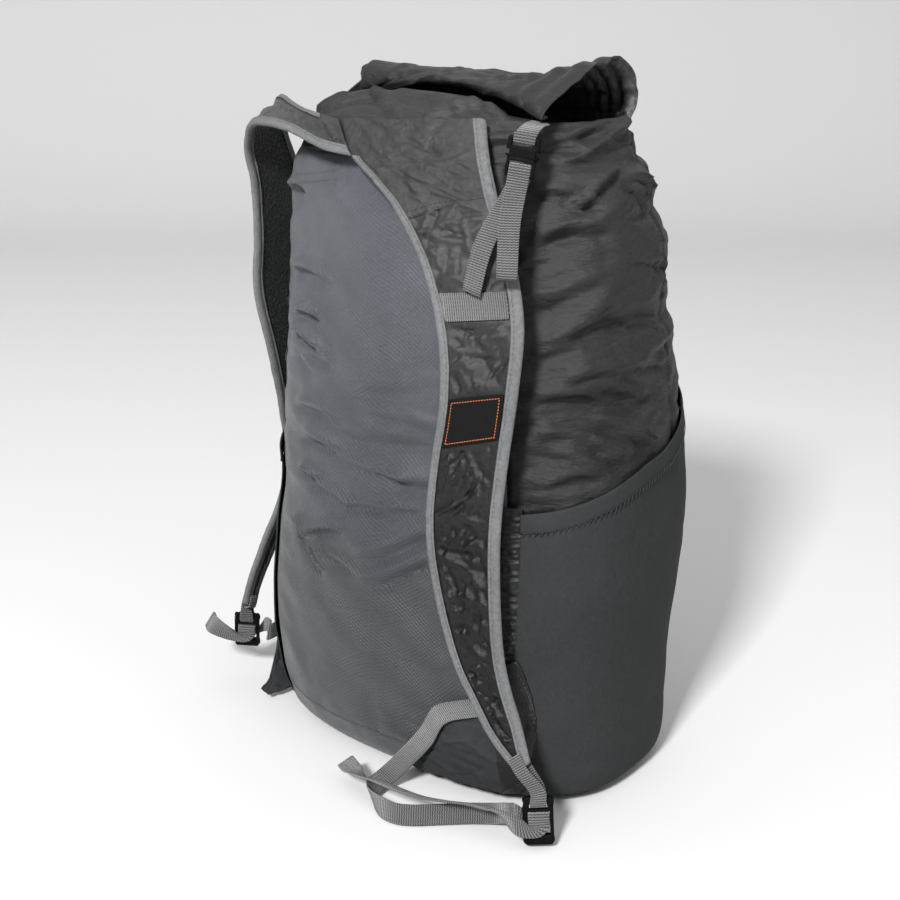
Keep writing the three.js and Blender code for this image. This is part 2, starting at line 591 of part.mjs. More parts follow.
// Lower webbing: from the wing, slack over the floor, round the lock's bar, then the free tail.
function throughLock(frame, way) {
  return [
    row(frame.spot(way * 15, 14, -OVER - 1.5), frame.long),
    row(frame.spot(way * 5, 22, -OVER - 0.8), frame.long.clone().add(frame.wide)),
    row(frame.spot(0, 18, -OVER), frame.wide),
    row(frame.spot(0, 14.6, -OVER), frame.wide),
    row(frame.spot(0, 12.2, -OVER * 0.6), frame.wide),
    row(frame.spot(0, 11.4, 0), frame.wide),
    row(frame.spot(0, 12.2, OVER * 0.6), frame.wide),
    row(frame.spot(0, 14.6, OVER), frame.wide),
    row(frame.spot(0, 20, OVER), frame.wide),
    row(frame.spot(4, 22, OVER + 1), frame.wide.clone().sub(frame.long)),
    row(frame.spot(15, 19, OVER + 1.5), frame.long.clone().negate()),
  ];
}
const leftLower = [
  row(wall(-66, 80, 7.4), vec(0.68, 0.03, -0.73)),
  row(wall(-74, 70, 8.2), vec(0.68, 0.03, -0.73)),
  place(44, -114, 49, 0.72, 0.1, -0.66),
  place(26, -119, 25, 0.8, 0.27, -0.54),
  place(15, -126, 11, 0.78, 0.23, -0.58),
  place(14, -138, 8.4, 0.7, 0.2, -0.65),
  place(22, -150, 7.8, 0.55, -0.1, -0.8),
  place(37, -156, 7.7, 0.25, -0.4, -0.88),
  place(55, -154, 7.7, 0.28, -0.41, -0.86),
  place(75, -138, 7.7, 0.28, -0.41, -0.86),
  place(92, -123, 7.8, 0.28, -0.41, -0.86),
  place(108, -114, 9.5, 0.3, -0.35, -0.88),
  place(121, -115, 15, 0.25, -0.25, -0.93),
];
const leftTail = [
  place(124, -129, 21, -0.12, -0.5, 0.86),
  place(113, -127, 21, -0.05, -0.9, 0.43),
  place(97, -130, 20.5, -0.05, -0.9, 0.43),
  place(62, -144, 20, -0.05, -0.9, 0.43),
  place(23, -146, 20, -0.05, -0.9, 0.43),
  place(-9, -138, 15, -0.1, -0.7, 0.7),
  place(-20, -133, 14, -0.1, -0.6, 0.8),
];
const leftRun = [...leftLower, ...throughLock(leftLock, 1), ...leftTail];
addNode('left_lower_webbing', webbingSolid(leftRun, 60), 'webbing');

const rightLower = [
  row(wall(-160, 54, 7), vec(0, 0, 1)),
  row(wall(-154, 54, 12), vec(0.1, 0.1, 0.95)),
  place(-182, -50, 50, 0.2, 0.1, 0.95),
];
const rightTail = [
  place(-230, -71, 46, 0.15, 0.6, 0.75),
  place(-243, -63, 45, 0.15, 0.6, 0.75),
];
const rightRun = [...rightLower, ...throughLock(rightLock, -1), ...rightTail];
addNode('right_lower_webbing', webbingSolid(rightRun, 36), 'webbing');

// Stretch pockets on both sides, open along the hem at their top.
function hemHeight(share) {
  return 230 + 36 * share + 46 * share * share;
}
// Each piece is cut from a layer that follows the shell's own facets.
function pocketGrid(from, to, out, low, high) {
  return range(0, 1, 2).map((v) => range(0, 1, 8).map((u) => {
    const z = low(u) + (high(u) - low(u)) * v;
    return wall(from + (to - from) * u, z, out);
  }));
}
function layerSolid(from, to, low, high, thick) {
  const layer = toManifold(clothSolid(shellRows(GAP + thick), shellRows(GAP), { ring: true }));
  const cutter = clothSolid(pocketGrid(from, to, 12, low, high), pocketGrid(from, to, -8, low, high));
  return fromManifold(layer.intersect(toManifold(cutter)));
}
const pocketTop = (u) => hemHeight(u) - HEM_WIDE - GAP;
const hemLow = (u) => hemHeight(u) - HEM_WIDE;
const pocketLow = () => 10;
const pocketSides = [
  ['left', POCKET_FROM, POCKET_TO],
  ['right', -142, -180 - POCKET_TO],
];
for (const [name, from, to] of pocketSides) {
  addNode(name + '_pocket', layerSolid(from, to, pocketLow, pocketTop, POCKET_THICK), 'stretch');
  addNode(name + '_pocket_hem', layerSolid(from, to, hemLow, hemHeight, POCKET_THICK + 0.5), 'stretch');
}

// Side release clips that hold the rolled mouth down, shown fastened.
const clipSlot = { from: 1.8, to: 5.8, wide: 15.2 };
function clipSocket() {
  const body = toManifold(plate(CLIP_WIDE, 0, 13, CLIP_THICK, [clipSlot], 2.2));
  const cave = toManifold(plate(CLIP_WIDE - 4.6, 7.2, 14, CLIP_THICK - 2.6, [], 0.5));
  const thumb = toManifold(plate(4, 8.2, 11.4, CLIP_THICK + 2, [], 0.6));
  const move = (x) => thumb.translate([x, 0, 0]);
  const cut = body.subtract(cave).subtract(move(CLIP_WIDE / 2)).subtract(move(-CLIP_WIDE / 2));
  return fromManifold(cut);
}
function clipPlug() {
  const slots = [{ from: 15.2, to: 18.6, wide: 15.2 }, { from: 20.4, to: 23.4, wide: 15.2 }];
  let body = toManifold(plate(CLIP_WIDE - 2, 13.4, 25.2, 3.6, slots, 1.8));
  for (const x of [-6, 0, 6]) {
    const prong = toManifold(plate(x === 0 ? 2.6 : 3, 8, 14.4, CLIP_THICK - 3.6, [], 0.4));
    body = body.add(prong.translate([x, 0, 0]));
  }
  return fromManifold(body);
}
const socketForm = clipSocket();
const plugForm = clipPlug();
const leftClip = buckleFrame(CLIPS.left);
const rightClip = buckleFrame(CLIPS.right);
addNode('left_clip_socket', placed(socketForm, leftClip), 'plastic');
addNode('left_clip_plug', placed(plugForm, leftClip), 'plastic');
addNode('right_clip_socket', placed(socketForm, rightClip), 'plastic');
addNode('right_clip_plug', placed(plugForm, rightClip), 'plastic');

// Short webbing from the roll's end to the clip's socket.
const CLIP_OVER = CLIP_THICK / 2 + GAP + WEB_THICK / 2;
function clipTab(frame, start) {
  const rows = [
    ...start,
    row(frame.spot(0, -2, -CLIP_OVER), frame.wide),
    row(frame.spot(0, 1.2, -CLIP_OVER), frame.wide),
    row(frame.spot(0, 3.4, -CLIP_OVER * 0.62), frame.wide),
    row(frame.spot(0, 3.9, 0), frame.wide),
    row(frame.spot(0, 3.4, CLIP_OVER * 0.62), frame.wide),
    row(frame.spot(0, 1.2, CLIP_OVER), frame.wide),
    row(frame.spot(0, -3, CLIP_OVER - 0.4), frame.wide),
  ];
  return webbingSolid(rows, 18, 14, 1.2);
}
const leftTabStart = [place(103, -66, 489.7, 0.97, 0.1, -0.15), place(104, -76, 488.2, 0.95, 0.2, -0.12)];
const rightTabStart = [place(-91, 30, 515.2, 0.05, -0.82, 0.57), place(-108, 28, 514, 0.05, -0.84, 0.5)];
addNode('left_clip_tab', clipTab(leftClip, leftTabStart), 'webbing');
addNode('right_clip_tab', clipTab(rightClip, rightTabStart), 'webbing');

// Closure webbing: from the chest band up round the plug's bar, then the free tail with its hem.
const PLUG_OVER = 2 + GAP + WEB_THICK / 2 + 0.3;
function closure(frame, below, tail) {
  const rows = [
    ...below,
    row(frame.spot(0, 28, -PLUG_OVER - 0.6), frame.wide),
    row(frame.spot(0, 23, -PLUG_OVER), frame.wide),
    row(frame.spot(0, 19.6, -PLUG_OVER), frame.wide),
    row(frame.spot(0, 17.4, -PLUG_OVER * 0.6), frame.wide),
    row(frame.spot(0, 16.9, 0), frame.wide),
    row(frame.spot(0, 17.4, PLUG_OVER * 0.6), frame.wide),
    row(frame.spot(0, 19.6, PLUG_OVER), frame.wide),
    row(frame.spot(0, 25.5, PLUG_OVER + 0.3), frame.wide),
    ...tail,
  ];
  return webbingSolid(rows, 32, 14, 1.2);
}
const leftBelow = [place(84, -114, 384, 0.95, 0.08, -0.28), place(91, -109.5, 416, 0.95, 0.15, -0.2)];
const leftFree = [place(107, -104, 430, 0.9, 0.4, 0), place(113, -115, 396, 0.93, 0.3, 0)];
const rightBelow = [
  place(-176.4, -30, 394, 0.16, -0.65, 0.75),
  place(-185, -10, 411, 0.1, -0.7, 0.7),
  place(-184, 11, 431, 0.1, -0.9, 0.4),
];
const rightFree = [place(-184, 19, 436, 0.05, -0.99, 0), place(-190, 25, 400, 0.05, -0.99, 0)];
addNode('left_closure_webbing', closure(leftClip, leftBelow, leftFree), 'webbing');
addNode('right_closure_webbing', closure(rightClip, rightBelow, rightFree), 'webbing');

export default part;
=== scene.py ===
import math

import bmesh
import bpy
import numpy as np
from mathutils import Matrix, Vector, kdtree


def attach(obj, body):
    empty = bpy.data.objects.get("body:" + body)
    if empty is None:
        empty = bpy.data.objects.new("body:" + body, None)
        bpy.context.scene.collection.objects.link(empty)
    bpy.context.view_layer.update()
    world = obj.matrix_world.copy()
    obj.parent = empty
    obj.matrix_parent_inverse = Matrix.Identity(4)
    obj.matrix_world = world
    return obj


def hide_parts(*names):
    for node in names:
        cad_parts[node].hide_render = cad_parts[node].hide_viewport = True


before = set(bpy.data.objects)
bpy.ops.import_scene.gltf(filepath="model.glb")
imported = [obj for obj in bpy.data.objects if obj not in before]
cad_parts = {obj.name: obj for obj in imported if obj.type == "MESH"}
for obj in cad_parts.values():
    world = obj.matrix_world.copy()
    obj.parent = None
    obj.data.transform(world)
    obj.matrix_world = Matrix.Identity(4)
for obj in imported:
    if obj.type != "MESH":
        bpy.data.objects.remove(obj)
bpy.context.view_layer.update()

# Studio: a pale floor under soft light, seen from a little above the bag's middle,
# with the harness turned toward the camera's left.
scene = bpy.context.scene
scene.view_settings.view_transform = "Standard"
camera = bpy.data.objects.new("camera", bpy.data.cameras.new("camera"))
scene.collection.objects.link(camera)
camera.location = (0.6264, -0.8252, 0.558)
camera.rotation_euler = (math.radians(72.6), 0.0, math.radians(38.2))
camera.data.lens = 56
camera.data.sensor_width = 36
scene.camera = camera


class Wire:
    """A socket of a material. Arithmetic on it adds Math nodes, and node() adds any other node."""

    def __init__(self, tree, socket=None):
        self.tree = tree
        self.socket = socket

    def node(self, kind, settings=None, sockets=None, output=0):
        made = self.tree.nodes.new(kind)
        for name, value in (settings or {}).items():
            if name == "stops":
                for place, color in value[1:-1]:
                    made.color_ramp.elements.new(place)
                for element, (place, color) in zip(made.color_ramp.elements, value):
                    element.position = place
                    element.color = (*color, 1.0)
            else:
                setattr(made, name, value)
        for name, value in (sockets or {}).items():
            if isinstance(value, Wire):
                self.tree.links.new(value.socket, made.inputs[name])
            else:
                made.inputs[name].default_value = value
        return Wire(self.tree, made.outputs[output])

    def math(self, operation, other=0.0, flip=False):
        pair = (other, self) if flip else (self, other)
        return self.node("ShaderNodeMath", {"operation": operation}, {0: pair[0], 1: pair[1]})

    def __add__(self, other):
        return self.math("ADD", other)

    def __radd__(self, other):
        return self.math("ADD", other)

    def __sub__(self, other):
        return self.math("SUBTRACT", other)

    def __rsub__(self, other):
        return self.math("SUBTRACT", other, flip=True)

    def __mul__(self, other):
        return self.math("MULTIPLY", other)

    def __rmul__(self, other):
        return self.math("MULTIPLY", other)

    def wave(self):
        return self.math("SINE")

    def sawtooth(self, step):
        return self.math("PINGPONG", step)

    def most(self, limit):
        return self.math("MINIMUM", limit)

    def on_object(self):
        return self.node("ShaderNodeTexCoord", {}, {}, 3)

    def noise(self, scale, detail, places=None, rough=0.5):
        places = self.on_object() if places is None else places
        return self.node("ShaderNodeTexNoise", {},
                         {"Vector": places, "Scale": scale, "Detail": detail, "Roughness": rough})

    def blend(self, share, dark, light):
        return self.node("ShaderNodeMix", {"data_type": "RGBA"},
                         {0: share, 6: (*dark, 1.0), 7: (*light, 1.0)}, 2)


def new_finish(name, settings):
    """A material with one Principled shader: its tree's Wire and the shader node."""
    material = bpy.data.materials.new(name)
    material.use_nodes = True
    tree = material.node_tree
    shader = tree.nodes["Principled BSDF"]
    for socket, value in settings.items():
        shader.inputs[socket].default_value = value
    return material, Wire(tree), shader


def connect(shader, socket, wire):
    wire.tree.links.new(wire.socket, shader.inputs[socket])


floor_paint, wire, shader = new_finish("floor_paint", {"Roughness": 0.9})
spots = wire.noise(0.2, 2.0)
tone = wire.node("ShaderNodeValToRGB", {"stops": [(0.0, (0.52, 0.52, 0.52)), (1.0, (0.55, 0.55, 0.55))]},
                 {"Fac": spots})
connect(shader, "Base Color", tone)


def smooth_all(bm):
    for face in bm.faces:
        face.smooth = True


def placed(name, bm, *finishes):
    """An object made from a bmesh, with its finishes in order."""
    mesh = bpy.data.meshes.new(name)
    bm.to_mesh(mesh)
    bm.free()
    for finish in finishes:
        mesh.materials.append(finish)
    piece = bpy.data.objects.new(name, mesh)
    scene.collection.objects.link(piece)
    return piece


FLOOR_DEPTH, COVE_RADIUS = 2.6, 0.9
bm = bmesh.new()
bmesh.ops.create_grid(bm, x_segments=72, y_segments=72, size=7.0)
back = Vector((-0.618, 0.786, 0.0))
for vert in bm.verts:
    past = vert.co.dot(back) - FLOOR_DEPTH
    if past > 0:
        bend = min(past / COVE_RADIUS, math.pi / 2)
        vert.co += back * (COVE_RADIUS * math.sin(bend) - past)
        vert.co.z = COVE_RADIUS * (1 - math.cos(bend)) + max(0.0, past - COVE_RADIUS * math.pi / 2)
smooth_all(bm)
placed("floor", bm, floor_paint)

world = bpy.data.worlds.new("studio")
scene.world = world
world.use_nodes = True
world.node_tree.nodes["Background"].inputs["Color"].default_value = (1.0, 1.0, 1.0, 1.0)
world.node_tree.nodes["Background"].inputs["Strength"].default_value = 0.15


def soft_box(name, place, aim, size, power):
    lamp = bpy.data.lights.new(name, "AREA")
    lamp.shape = "RECTANGLE"
    lamp.size, lamp.size_y = size
    lamp.energy = power
    holder = bpy.data.objects.new(name, lamp)
    holder.location = place
    holder.rotation_euler = (Vector(aim) - Vector(place)).to_track_quat("-Z", "Y").to_euler()
    scene.collection.objects.link(holder)


soft_box("key", (1.0, -3.3, 2.7), (0.0, 0.0, 0.25), (0.6, 0.6), 330)
soft_box("fill", (1.9, -0.2, 0.9), (0.0, 0.0, 0.3), (0.4, 1.2), 5)
soft_box("top", (0.0, 0.0, 4.0), (0.0, 0.0, 0.0), (10.0, 10.0), 300)

# Bag shell: thin coated cloth sewn from two sides, a front and a base, stuffed full so that it
# stands, with slack that gathers at the seams and crosses the sides in shallow folds.
MM = 0.001
NECK_Z = 462.0
BASE_RISE = 30.0
SECTIONS = np.array([
    # z, half width, depth toward the harness, depth toward the front, shift in X, squareness
    (0, 140, 82, 93, -3, 2.8), (3, 147, 89, 100, -3, 2.8), (12, 155, 97, 106, -4, 2.8),
    (40, 161, 105, 110, -7, 2.7), (100, 164, 109, 114, -9, 2.6), (160, 162, 110, 126, -4, 2.6),
    (220, 159.5, 108, 132, -1.5, 2.6), (300, 151.5, 103, 126, -2.5, 2.6), (360, 147.7, 97, 114, -3.7, 2.6),
    (420, 143.7, 89, 99, -6.7, 2.6), (450, 140, 83, 85, -9, 2.6), (466, 133, 80, 73, -8, 2.6),
    (487, 123, 74, 66, -6, 2.6), (498, 117, 58, 62, -6, 2.6), (512, 110, 40, 60, -5, 2.6)], float)
DENTS = np.array([
    # turn, z, spread in turn, spread in z, depth
    (10, 352, 34, 12, 5), (-20, 300, 22, 14, 4), (30, 428, 24, 11, 3), (-150, 205, 14, 26, 4),
    (-52, 210, 9, 70, 3)], float)
PANEL_FROM, PANEL_TO = -149.7, -56.0
SIDE_SEAMS = (14.0, 166.0)


def through(places, values, at):
    """Smooth curve through a column of a table."""
    at = np.asarray(at, float)
    i = np.clip(np.searchsorted(places, at, side="left") - 1, 0, len(places) - 2)
    before, after = np.maximum(i - 1, 0), np.minimum(i + 2, len(places) - 1)
    span = places[i + 1] - places[i]
    rise = values[i + 1] - values[i]
    back_slope = (values[i + 1] - values[before]) / (places[i + 1] - places[before])
    ahead_slope = (values[after] - values[i]) / (places[after] - places[i])
    m1 = np.where(before == i, rise, back_slope * span)
    m2 = np.where(after == i + 1, rise, ahead_slope * span)
    t = np.clip((at - places[i]) / span, 0, 1)
    return ((2 * t**3 - 3 * t**2 + 1) * values[i] + (t**3 - 2 * t**2 + t) * m1
            + (3 * t**2 - 2 * t**3) * values[i + 1] + (t**3 - t**2) * m2)


def wall(turn, z, out=0.0):
    """Points of the bag's wall in metres at turns about Z, 0 being +X, and heights in mm."""
    turn, z = np.broadcast_arrays(np.asarray(turn, float), np.asarray(z, float))
    c, s = np.cos(np.radians(turn)), np.sin(np.radians(turn))
    half, near, front, shift, square = (through(SECTIONS[:, 0], SECTIONS[:, k], z) for k in range(1, 6))
    push = np.zeros(turn.shape) + out
    for at, high, wide, tall, deep in DENTS:
        across = ((turn - at + 180) % 360 - 180) / wide
        push -= deep * np.exp(-(across**2) - ((z - high) / tall) ** 2)
    x = shift + (half + push) * np.sign(c) * np.abs(c) ** (2 / square)
    y = (np.where(s < 0, near, front) + push) * np.sign(s) * np.abs(s) ** (2 / square)
    return np.stack([x, y, z], -1) * MM


def even_turns(start, end, step):
    """Turns from start to end that are about `step` mm apart round the bag."""
    fine = np.linspace(start, end, 400)
    ring = wall(fine, 220.0) / MM
    run = np.concatenate([[0], np.cumsum(np.linalg.norm(np.diff(ring, axis=0), axis=1))])
    return np.interp(np.linspace(0, run[-1], max(2, round(run[-1] / step))), run, fine)


def grid_normals(points):
    across = np.gradient(points, axis=1)
    along = np.gradient(points, axis=0)
    normal = np.cross(across, along)
    return normal / np.maximum(np.linalg.norm(normal, axis=-1, keepdims=True), 1e-9)


def arc_lengths(points, axis):
    steps = np.linalg.norm(np.diff(points, axis=axis), axis=-1)
    start = np.zeros_like(np.take(steps, [0], axis=axis))
    return np.concatenate([start, np.cumsum(steps, axis=axis)], axis=axis)


def cloth_sheet(name, points, finishes, uv=None, ring=False, caps=False, paint=None):
    """An object whose mesh is a grid moved onto `points`, rows by columns, with UVs in metres.

    `ring` joins its two sides, `caps` closes its open ends, and `paint` gives the finish of the cell at a
    row and column, or None where the cloth is cut away.
    """
    rows, cols = points.shape[:2]
    if uv is None:
        uv = np.stack([arc_lengths(points, 1), arc_lengths(points, 0)], -1)
    bm = bmesh.new()
    bmesh.ops.create_grid(bm, x_segments=cols - 1, y_segments=rows - 1, size=0.5)
    layer = bm.loops.layers.uv.new("cloth")
    places = {}
    cut = []
    for vert in bm.verts:
        places[vert] = (round((vert.co.y + 0.5) * (rows - 1)), round((vert.co.x + 0.5) * (cols - 1)))
        vert.co = points[places[vert]]
    smooth_all(bm)
    for face in bm.faces:
        for loop in face.loops:
            loop[layer].uv = uv[places[loop.vert]]
        if paint is not None:
            r = min(places[loop.vert][0] for loop in face.loops)
            c = min(places[loop.vert][1] for loop in face.loops)
            if paint(r, c) is None:
                cut.append(face)
            else:
                face.material_index = paint(r, c)
    bmesh.ops.delete(bm, geom=cut, context="FACES")
    if ring:
        bmesh.ops.remove_doubles(bm, verts=bm.verts, dist=1e-6)
    if caps:
        bmesh.ops.holes_fill(bm, edges=[e for e in bm.edges if e.is_boundary], sides=0)
    return placed(name, bm, *finishes)


def thicken(piece, thick, lining=0, levels=1):
    """Gives a cloth its thickness inward, rounds it and, if asked, lines its inside."""
    wall_depth = piece.modifiers.new("thickness", "SOLIDIFY")
    wall_depth.thickness = thick * MM
    wall_depth.offset = -1.0
    wall_depth.material_offset = lining
    if levels:
        rounding = piece.modifiers.new("rounding", "SUBSURF")
        rounding.levels = levels
        rounding.render_levels = levels


def fixed(piece, slot, *nodes):
    """The piece rides with the bag and stands for its CAD solids, if it has any; `slot` is not used."""
    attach(piece, "root")
    if nodes:
        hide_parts(*nodes)


def creases(points, seed, spacing, long, wide, deep, lean=0.0, spread=0.7, soft=False):
    """Height in mm of random creases over a sheet, `long` by `wide` mm and about `spacing` mm apart."""
    rng = np.random.default_rng(seed)
    u, v = arc_lengths(points, 1) / MM, arc_lengths(points, 0) / MM
    across, up = u[:, -1].mean(), v[-1].mean()
    made = np.zeros(u.shape)
    for _ in range(int(across * up / (long * spacing))):
        du, dv = u - rng.uniform(0, across), v - rng.uniform(0, up)
        angle = lean + rng.normal(0, spread)
        reach, width = long * rng.uniform(0.5, 1.4), wide * rng.uniform(0.6, 1.5)
        bend, rise = rng.uniform(-0.3, 0.3), rng.choice((-1, 1)) * deep * rng.uniform(0.35, 1.0)
        near = (np.abs(du) < reach) & (np.abs(dv) < reach)
        run = du[near] * math.cos(angle) + dv[near] * math.sin(angle)
        side = dv[near] * math.cos(angle) - du[near] * math.sin(angle) + bend * run**2 / reach
        slope = np.where(side > 0, side / width, -side / (0.5 * width))
        shape = np.exp(-(slope**2)) if soft else np.exp(-slope)
        made[near] += rise * shape * np.exp(-((run / (0.45 * reach)) ** 4))
    return made


TURN_MM = 2.45  # about how far a turn of one degree goes round the wall


def folds(turn, z, rows):
    """Height in mm of sharp folds: each has its two ends as turn and height, width and depth."""
    made = np.zeros(np.broadcast(turn, z).shape)
    for t0, z0, t1, z1, wide, deep in rows:
        along = np.array([(t1 - t0) * TURN_MM, z1 - z0])
        length = np.linalg.norm(along) + 1e-6
        along = along / length
        dx, dz = ((turn - t0 + 180) % 360 - 180) * TURN_MM, z - z0
        run = (dx * along[0] + dz * along[1]) / length
        side = -dx * along[1] + dz * along[0]
        bend = side + 0.12 * length * (run - 0.5) ** 2
        ends = np.exp(-(np.maximum(np.abs(run - 0.5) - 0.38, 0) * length / (2.5 * wide)) ** 2)
        valley = np.exp(-np.abs(bend) / (0.9 * wide))
        ridge = np.exp(-np.abs(bend - 2.1 * wide) / (1.4 * wide))
        made += 1.35 * deep * ends * (0.9 * ridge - valley)
    return made


seams = [-180.0, PANEL_FROM, PANEL_TO, SIDE_SEAMS[0], SIDE_SEAMS[1], 180.0]


def wall_turns(step):
    parts = [even_turns(a, b, step) for a, b in zip(seams[:-1], seams[1:])]
    return np.concatenate([part[:-1] for part in parts] + [[180.0]])


def settled(points, pinned, swell, pressure, frames):
    """Height in mm that slack cloth takes over `points` when it is blown out between its pins."""
    trial = cloth_sheet("trial", points, [], ring=True)
    flat = np.array([v.co for v in trial.data.vertices])
    finder = kdtree.KDTree(len(flat))
    for i, p in enumerate(flat):
        finder.insert(p, i)
    finder.balance()
    where = np.array([finder.find(p)[1] for p in points.reshape(-1, 3)])
    group = trial.vertex_groups.new(name="pinned")
    group.add(np.unique(where[pinned.ravel()]).tolist(), 1.0, "REPLACE")
    cloth = trial.modifiers.new("cloth", "CLOTH")
    cloth.settings.quality = 6
    cloth.settings.mass = 0.15
    cloth.settings.tension_stiffness = 25
    cloth.settings.compression_stiffness = 25
    cloth.settings.shear_stiffness = 12
    cloth.settings.bending_stiffness = 0.08
    cloth.settings.vertex_group_mass = "pinned"
    cloth.settings.shrink_min = -swell
    cloth.settings.use_pressure = True
    cloth.settings.uniform_pressure_force = pressure
    cloth.settings.effector_weights.gravity = 0.0
    cloth.collision_settings.use_collision = False
    for step in range(1, frames + 1):
        scene.frame_set(step)
    blown = trial.evaluated_get(bpy.context.evaluated_depsgraph_get())
    moved = np.array([v.co for v in blown.data.vertices])
    scene.frame_set(1)
    bpy.data.objects.remove(trial)
    return (moved[where] - flat[where]).reshape(points.shape) / MM


def blurred(field, steps):
    """A field over the bag's wall with its small bumps smoothed out."""
    for _ in range(steps):
        padded = np.pad(field, ((1, 1), (0, 0)), mode="edge")
        field = (padded[:-2] + 2 * padded[1:-1] + padded[2:]) / 4
        inner = field[:, :-1]
        inner = (np.roll(inner, 1, 1) + 2 * inner + np.roll(inner, -1, 1)) / 4
        field = np.concatenate([inner, inner[:, :1]], 1)
    return field


coarse_turns = wall_turns(6.5)
coarse_z = np.concatenate([[0, 2, 6, 12, 20], np.linspace(BASE_RISE, NECK_Z, 70)])
slack = np.zeros((len(coarse_z), len(coarse_turns)))
coarse_wall = wall(coarse_turns[None, :], coarse_z[:, None])
coarse_normals = grid_normals(coarse_wall)
held = np.zeros(slack.shape, bool)
held[:3] = True
held[-1:] = True
for seam in seams[1:-1]:
    held[:, np.argmin(np.abs(coarse_turns - seam))] = True
shift = settled(coarse_wall, held, 0.06, 1.2, 24)
lift = np.sum(shift * coarse_normals, -1)
slack = np.clip(lift - blurred(lift, 14), -5.0, 5.0)

SIDE_FOLDS = [
    # turn and height of each end, width, depth
    (-46, 444, -33, 442, 2.4, 3.0), (-33, 442, -28, 434, 2.4, 3.0), (-28, 434, -18, 436, 2.4, 3.5),
    (-23, 438, -3, 456, 2.4, 2.5), (-42, 412, -36, 418, 3.2, 2.5), (-38, 416, -16, 418, 4.0, 3.0),
    (-50, 396, -42, 400, 2.4, 2.5), (-43, 370, -19, 386, 4.0, 2.0), (-23, 364, -14, 370, 3.2, 1.5),
    (-41, 344, -20, 356, 3.2, 1.8), (-20, 356, -8, 358, 4.0, 1.5), (-12, 356, 8, 344, 2.4, 2.0),
    (-44, 336, -31, 344, 2.4, 2.0), (-2, 450, 12, 442, 2.4, 3.0), (-1, 444, 5, 432, 2.4, 3.0),
    (-33, 320, -15, 324, 3.2, 2.2), (-15, 324, -1, 312, 3.2, 1.6), (-11, 326, 11, 316, 3.2, 1.8),
    (-46, 308, -25, 308, 3.2, 2.0), (-24, 306, -19, 302, 2.4, 1.8), (-17, 310, -1, 298, 4.0, 1.5),
    (-37, 292, -11, 284, 4.0, 1.6), (-43, 282, -29, 282, 3.2, 1.5), (-20, 288, -2, 272, 4.0, 2.2),
    (-5, 276, 0, 266, 2.4, 3.0), (-29, 278, -19, 274, 3.2, 1.6), (-24, 274, -12, 258, 3.2, 3.0),
    (-37, 254, -24, 252, 3.2, 2.2), (-43, 248, -34, 250, 2.4, 1.5), (8, 392, 17, 384, 2.4, 2.0),
    (0, 394, 10, 386, 2.4, 1.6), (-37, 268, -26, 260, 3.2, 1.5), (-50, 272, -37, 268, 3.2, 1.2)]
PANEL_FOLDS = [
    # turn and height of each end, width, depth
    (-142, 428, -129, 432, 3.2, 2.5), (-131, 372, -117, 376, 3.2, 1.2), (-128, 370, -109, 370, 4.0, 1.8),
    (-128, 352, -118, 352, 3.2, 1.5), (-127, 342, -113, 342, 3.2, 3.0), (-128, 328, -110, 320, 3.2, 3.5),
    (-124, 314, -106, 312, 4.0, 2.0), (-127, 308, -117, 302, 4.0, 1.5), (-119, 272, -105, 272, 4.0, 1.8),
    (-114, 250, -103, 248, 4.0, 2.0), (-116, 224, -109, 222, 2.4, 2.5), (-109, 216, -98, 210, 3.2, 1.6),
    (-98, 208, -82, 220, 2.4, 1.2), (-94, 242, -86, 238, 2.4, 1.5), (-86, 236, -81, 238, 4.0, 1.5),
    (-111, 176, -101, 186, 3.2, 2.0), (-120, 182, -114, 166, 2.4, 2.5), (-115, 170, -107, 152, 3.2, 3.0),
    (-91, 174, -80, 202, 4.0, 1.5), (-89, 158, -80, 180, 4.0, 2.0), (-102, 164, -96, 160, 3.2, 1.2),
    (-92, 298, -81, 308, 4.0, 0.8), (-94, 262, -82, 268, 4.8, 0.9), (-90, 282, -81, 280, 4.0, 0.9)]
FRONT_FROM, FRONT_TO = 36, 144  # turns between which the rolled front takes the collar's place
COLLAR_EDGE = np.array([
    # turn, height
    (-216, 492), (-180, 494), (-140, 498), (-110, 505), (-80, 503), (-50, 492), (0, 490), (36, 492)], float)
COLLAR_FOLDS = [
    # turn and height of each end, width, depth
    (-150, 484, -124, 499, 2.6, 2.4), (-134, 486, -104, 503, 2.4, 2.6), (-112, 503, -92, 489, 2.2, 2.4),
    (-100, 502, -72, 490, 2.6, 2.6), (-86, 487, -66, 500, 2.2, 2.4), (-74, 499, -56, 486, 2.4, 2.4),
    (-116, 476, -90, 486, 3.0, 2.0), (-70, 470, -52, 476, 2.4, 2.2), (-45, 474, -20, 470, 3.0, 2.0),
    (-22, 482, 6, 477, 2.6, 2.2), (-8, 470, 20, 473, 3.0, 1.8)]
turns = wall_turns(4.6)
seam_cols = [int(np.argmin(np.abs(turns - seam))) for seam in seams[1:-1]]
wall_z = np.concatenate([[0, 1.5, 4, 8, 13, 19, 25], np.linspace(BASE_RISE, NECK_Z, 190)])
rise_row = int(np.argmin(np.abs(wall_z - BASE_RISE)))
neck_row = len(wall_z) - 1
mouth_turns = np.where(turns > FRONT_FROM, turns - 360, turns)
mouth_top = through(COLLAR_EDGE[:, 0], COLLAR_EDGE[:, 1], mouth_turns)
at_z = np.concatenate([np.repeat(wall_z[:, None], len(turns), 1),
                       NECK_Z + (mouth_top - NECK_Z) * np.linspace(0, 1, 21)[1:, None]])
smooth_wall = wall(turns[None, :], at_z)
wall_normals = grid_normals(smooth_wall)
wall_normals[:, [0, -1]] = (wall_normals[:, [0]] + wall_normals[:, [-1]]) / 2
rows_at = np.interp(at_z, coarse_z, np.arange(len(coarse_z)))
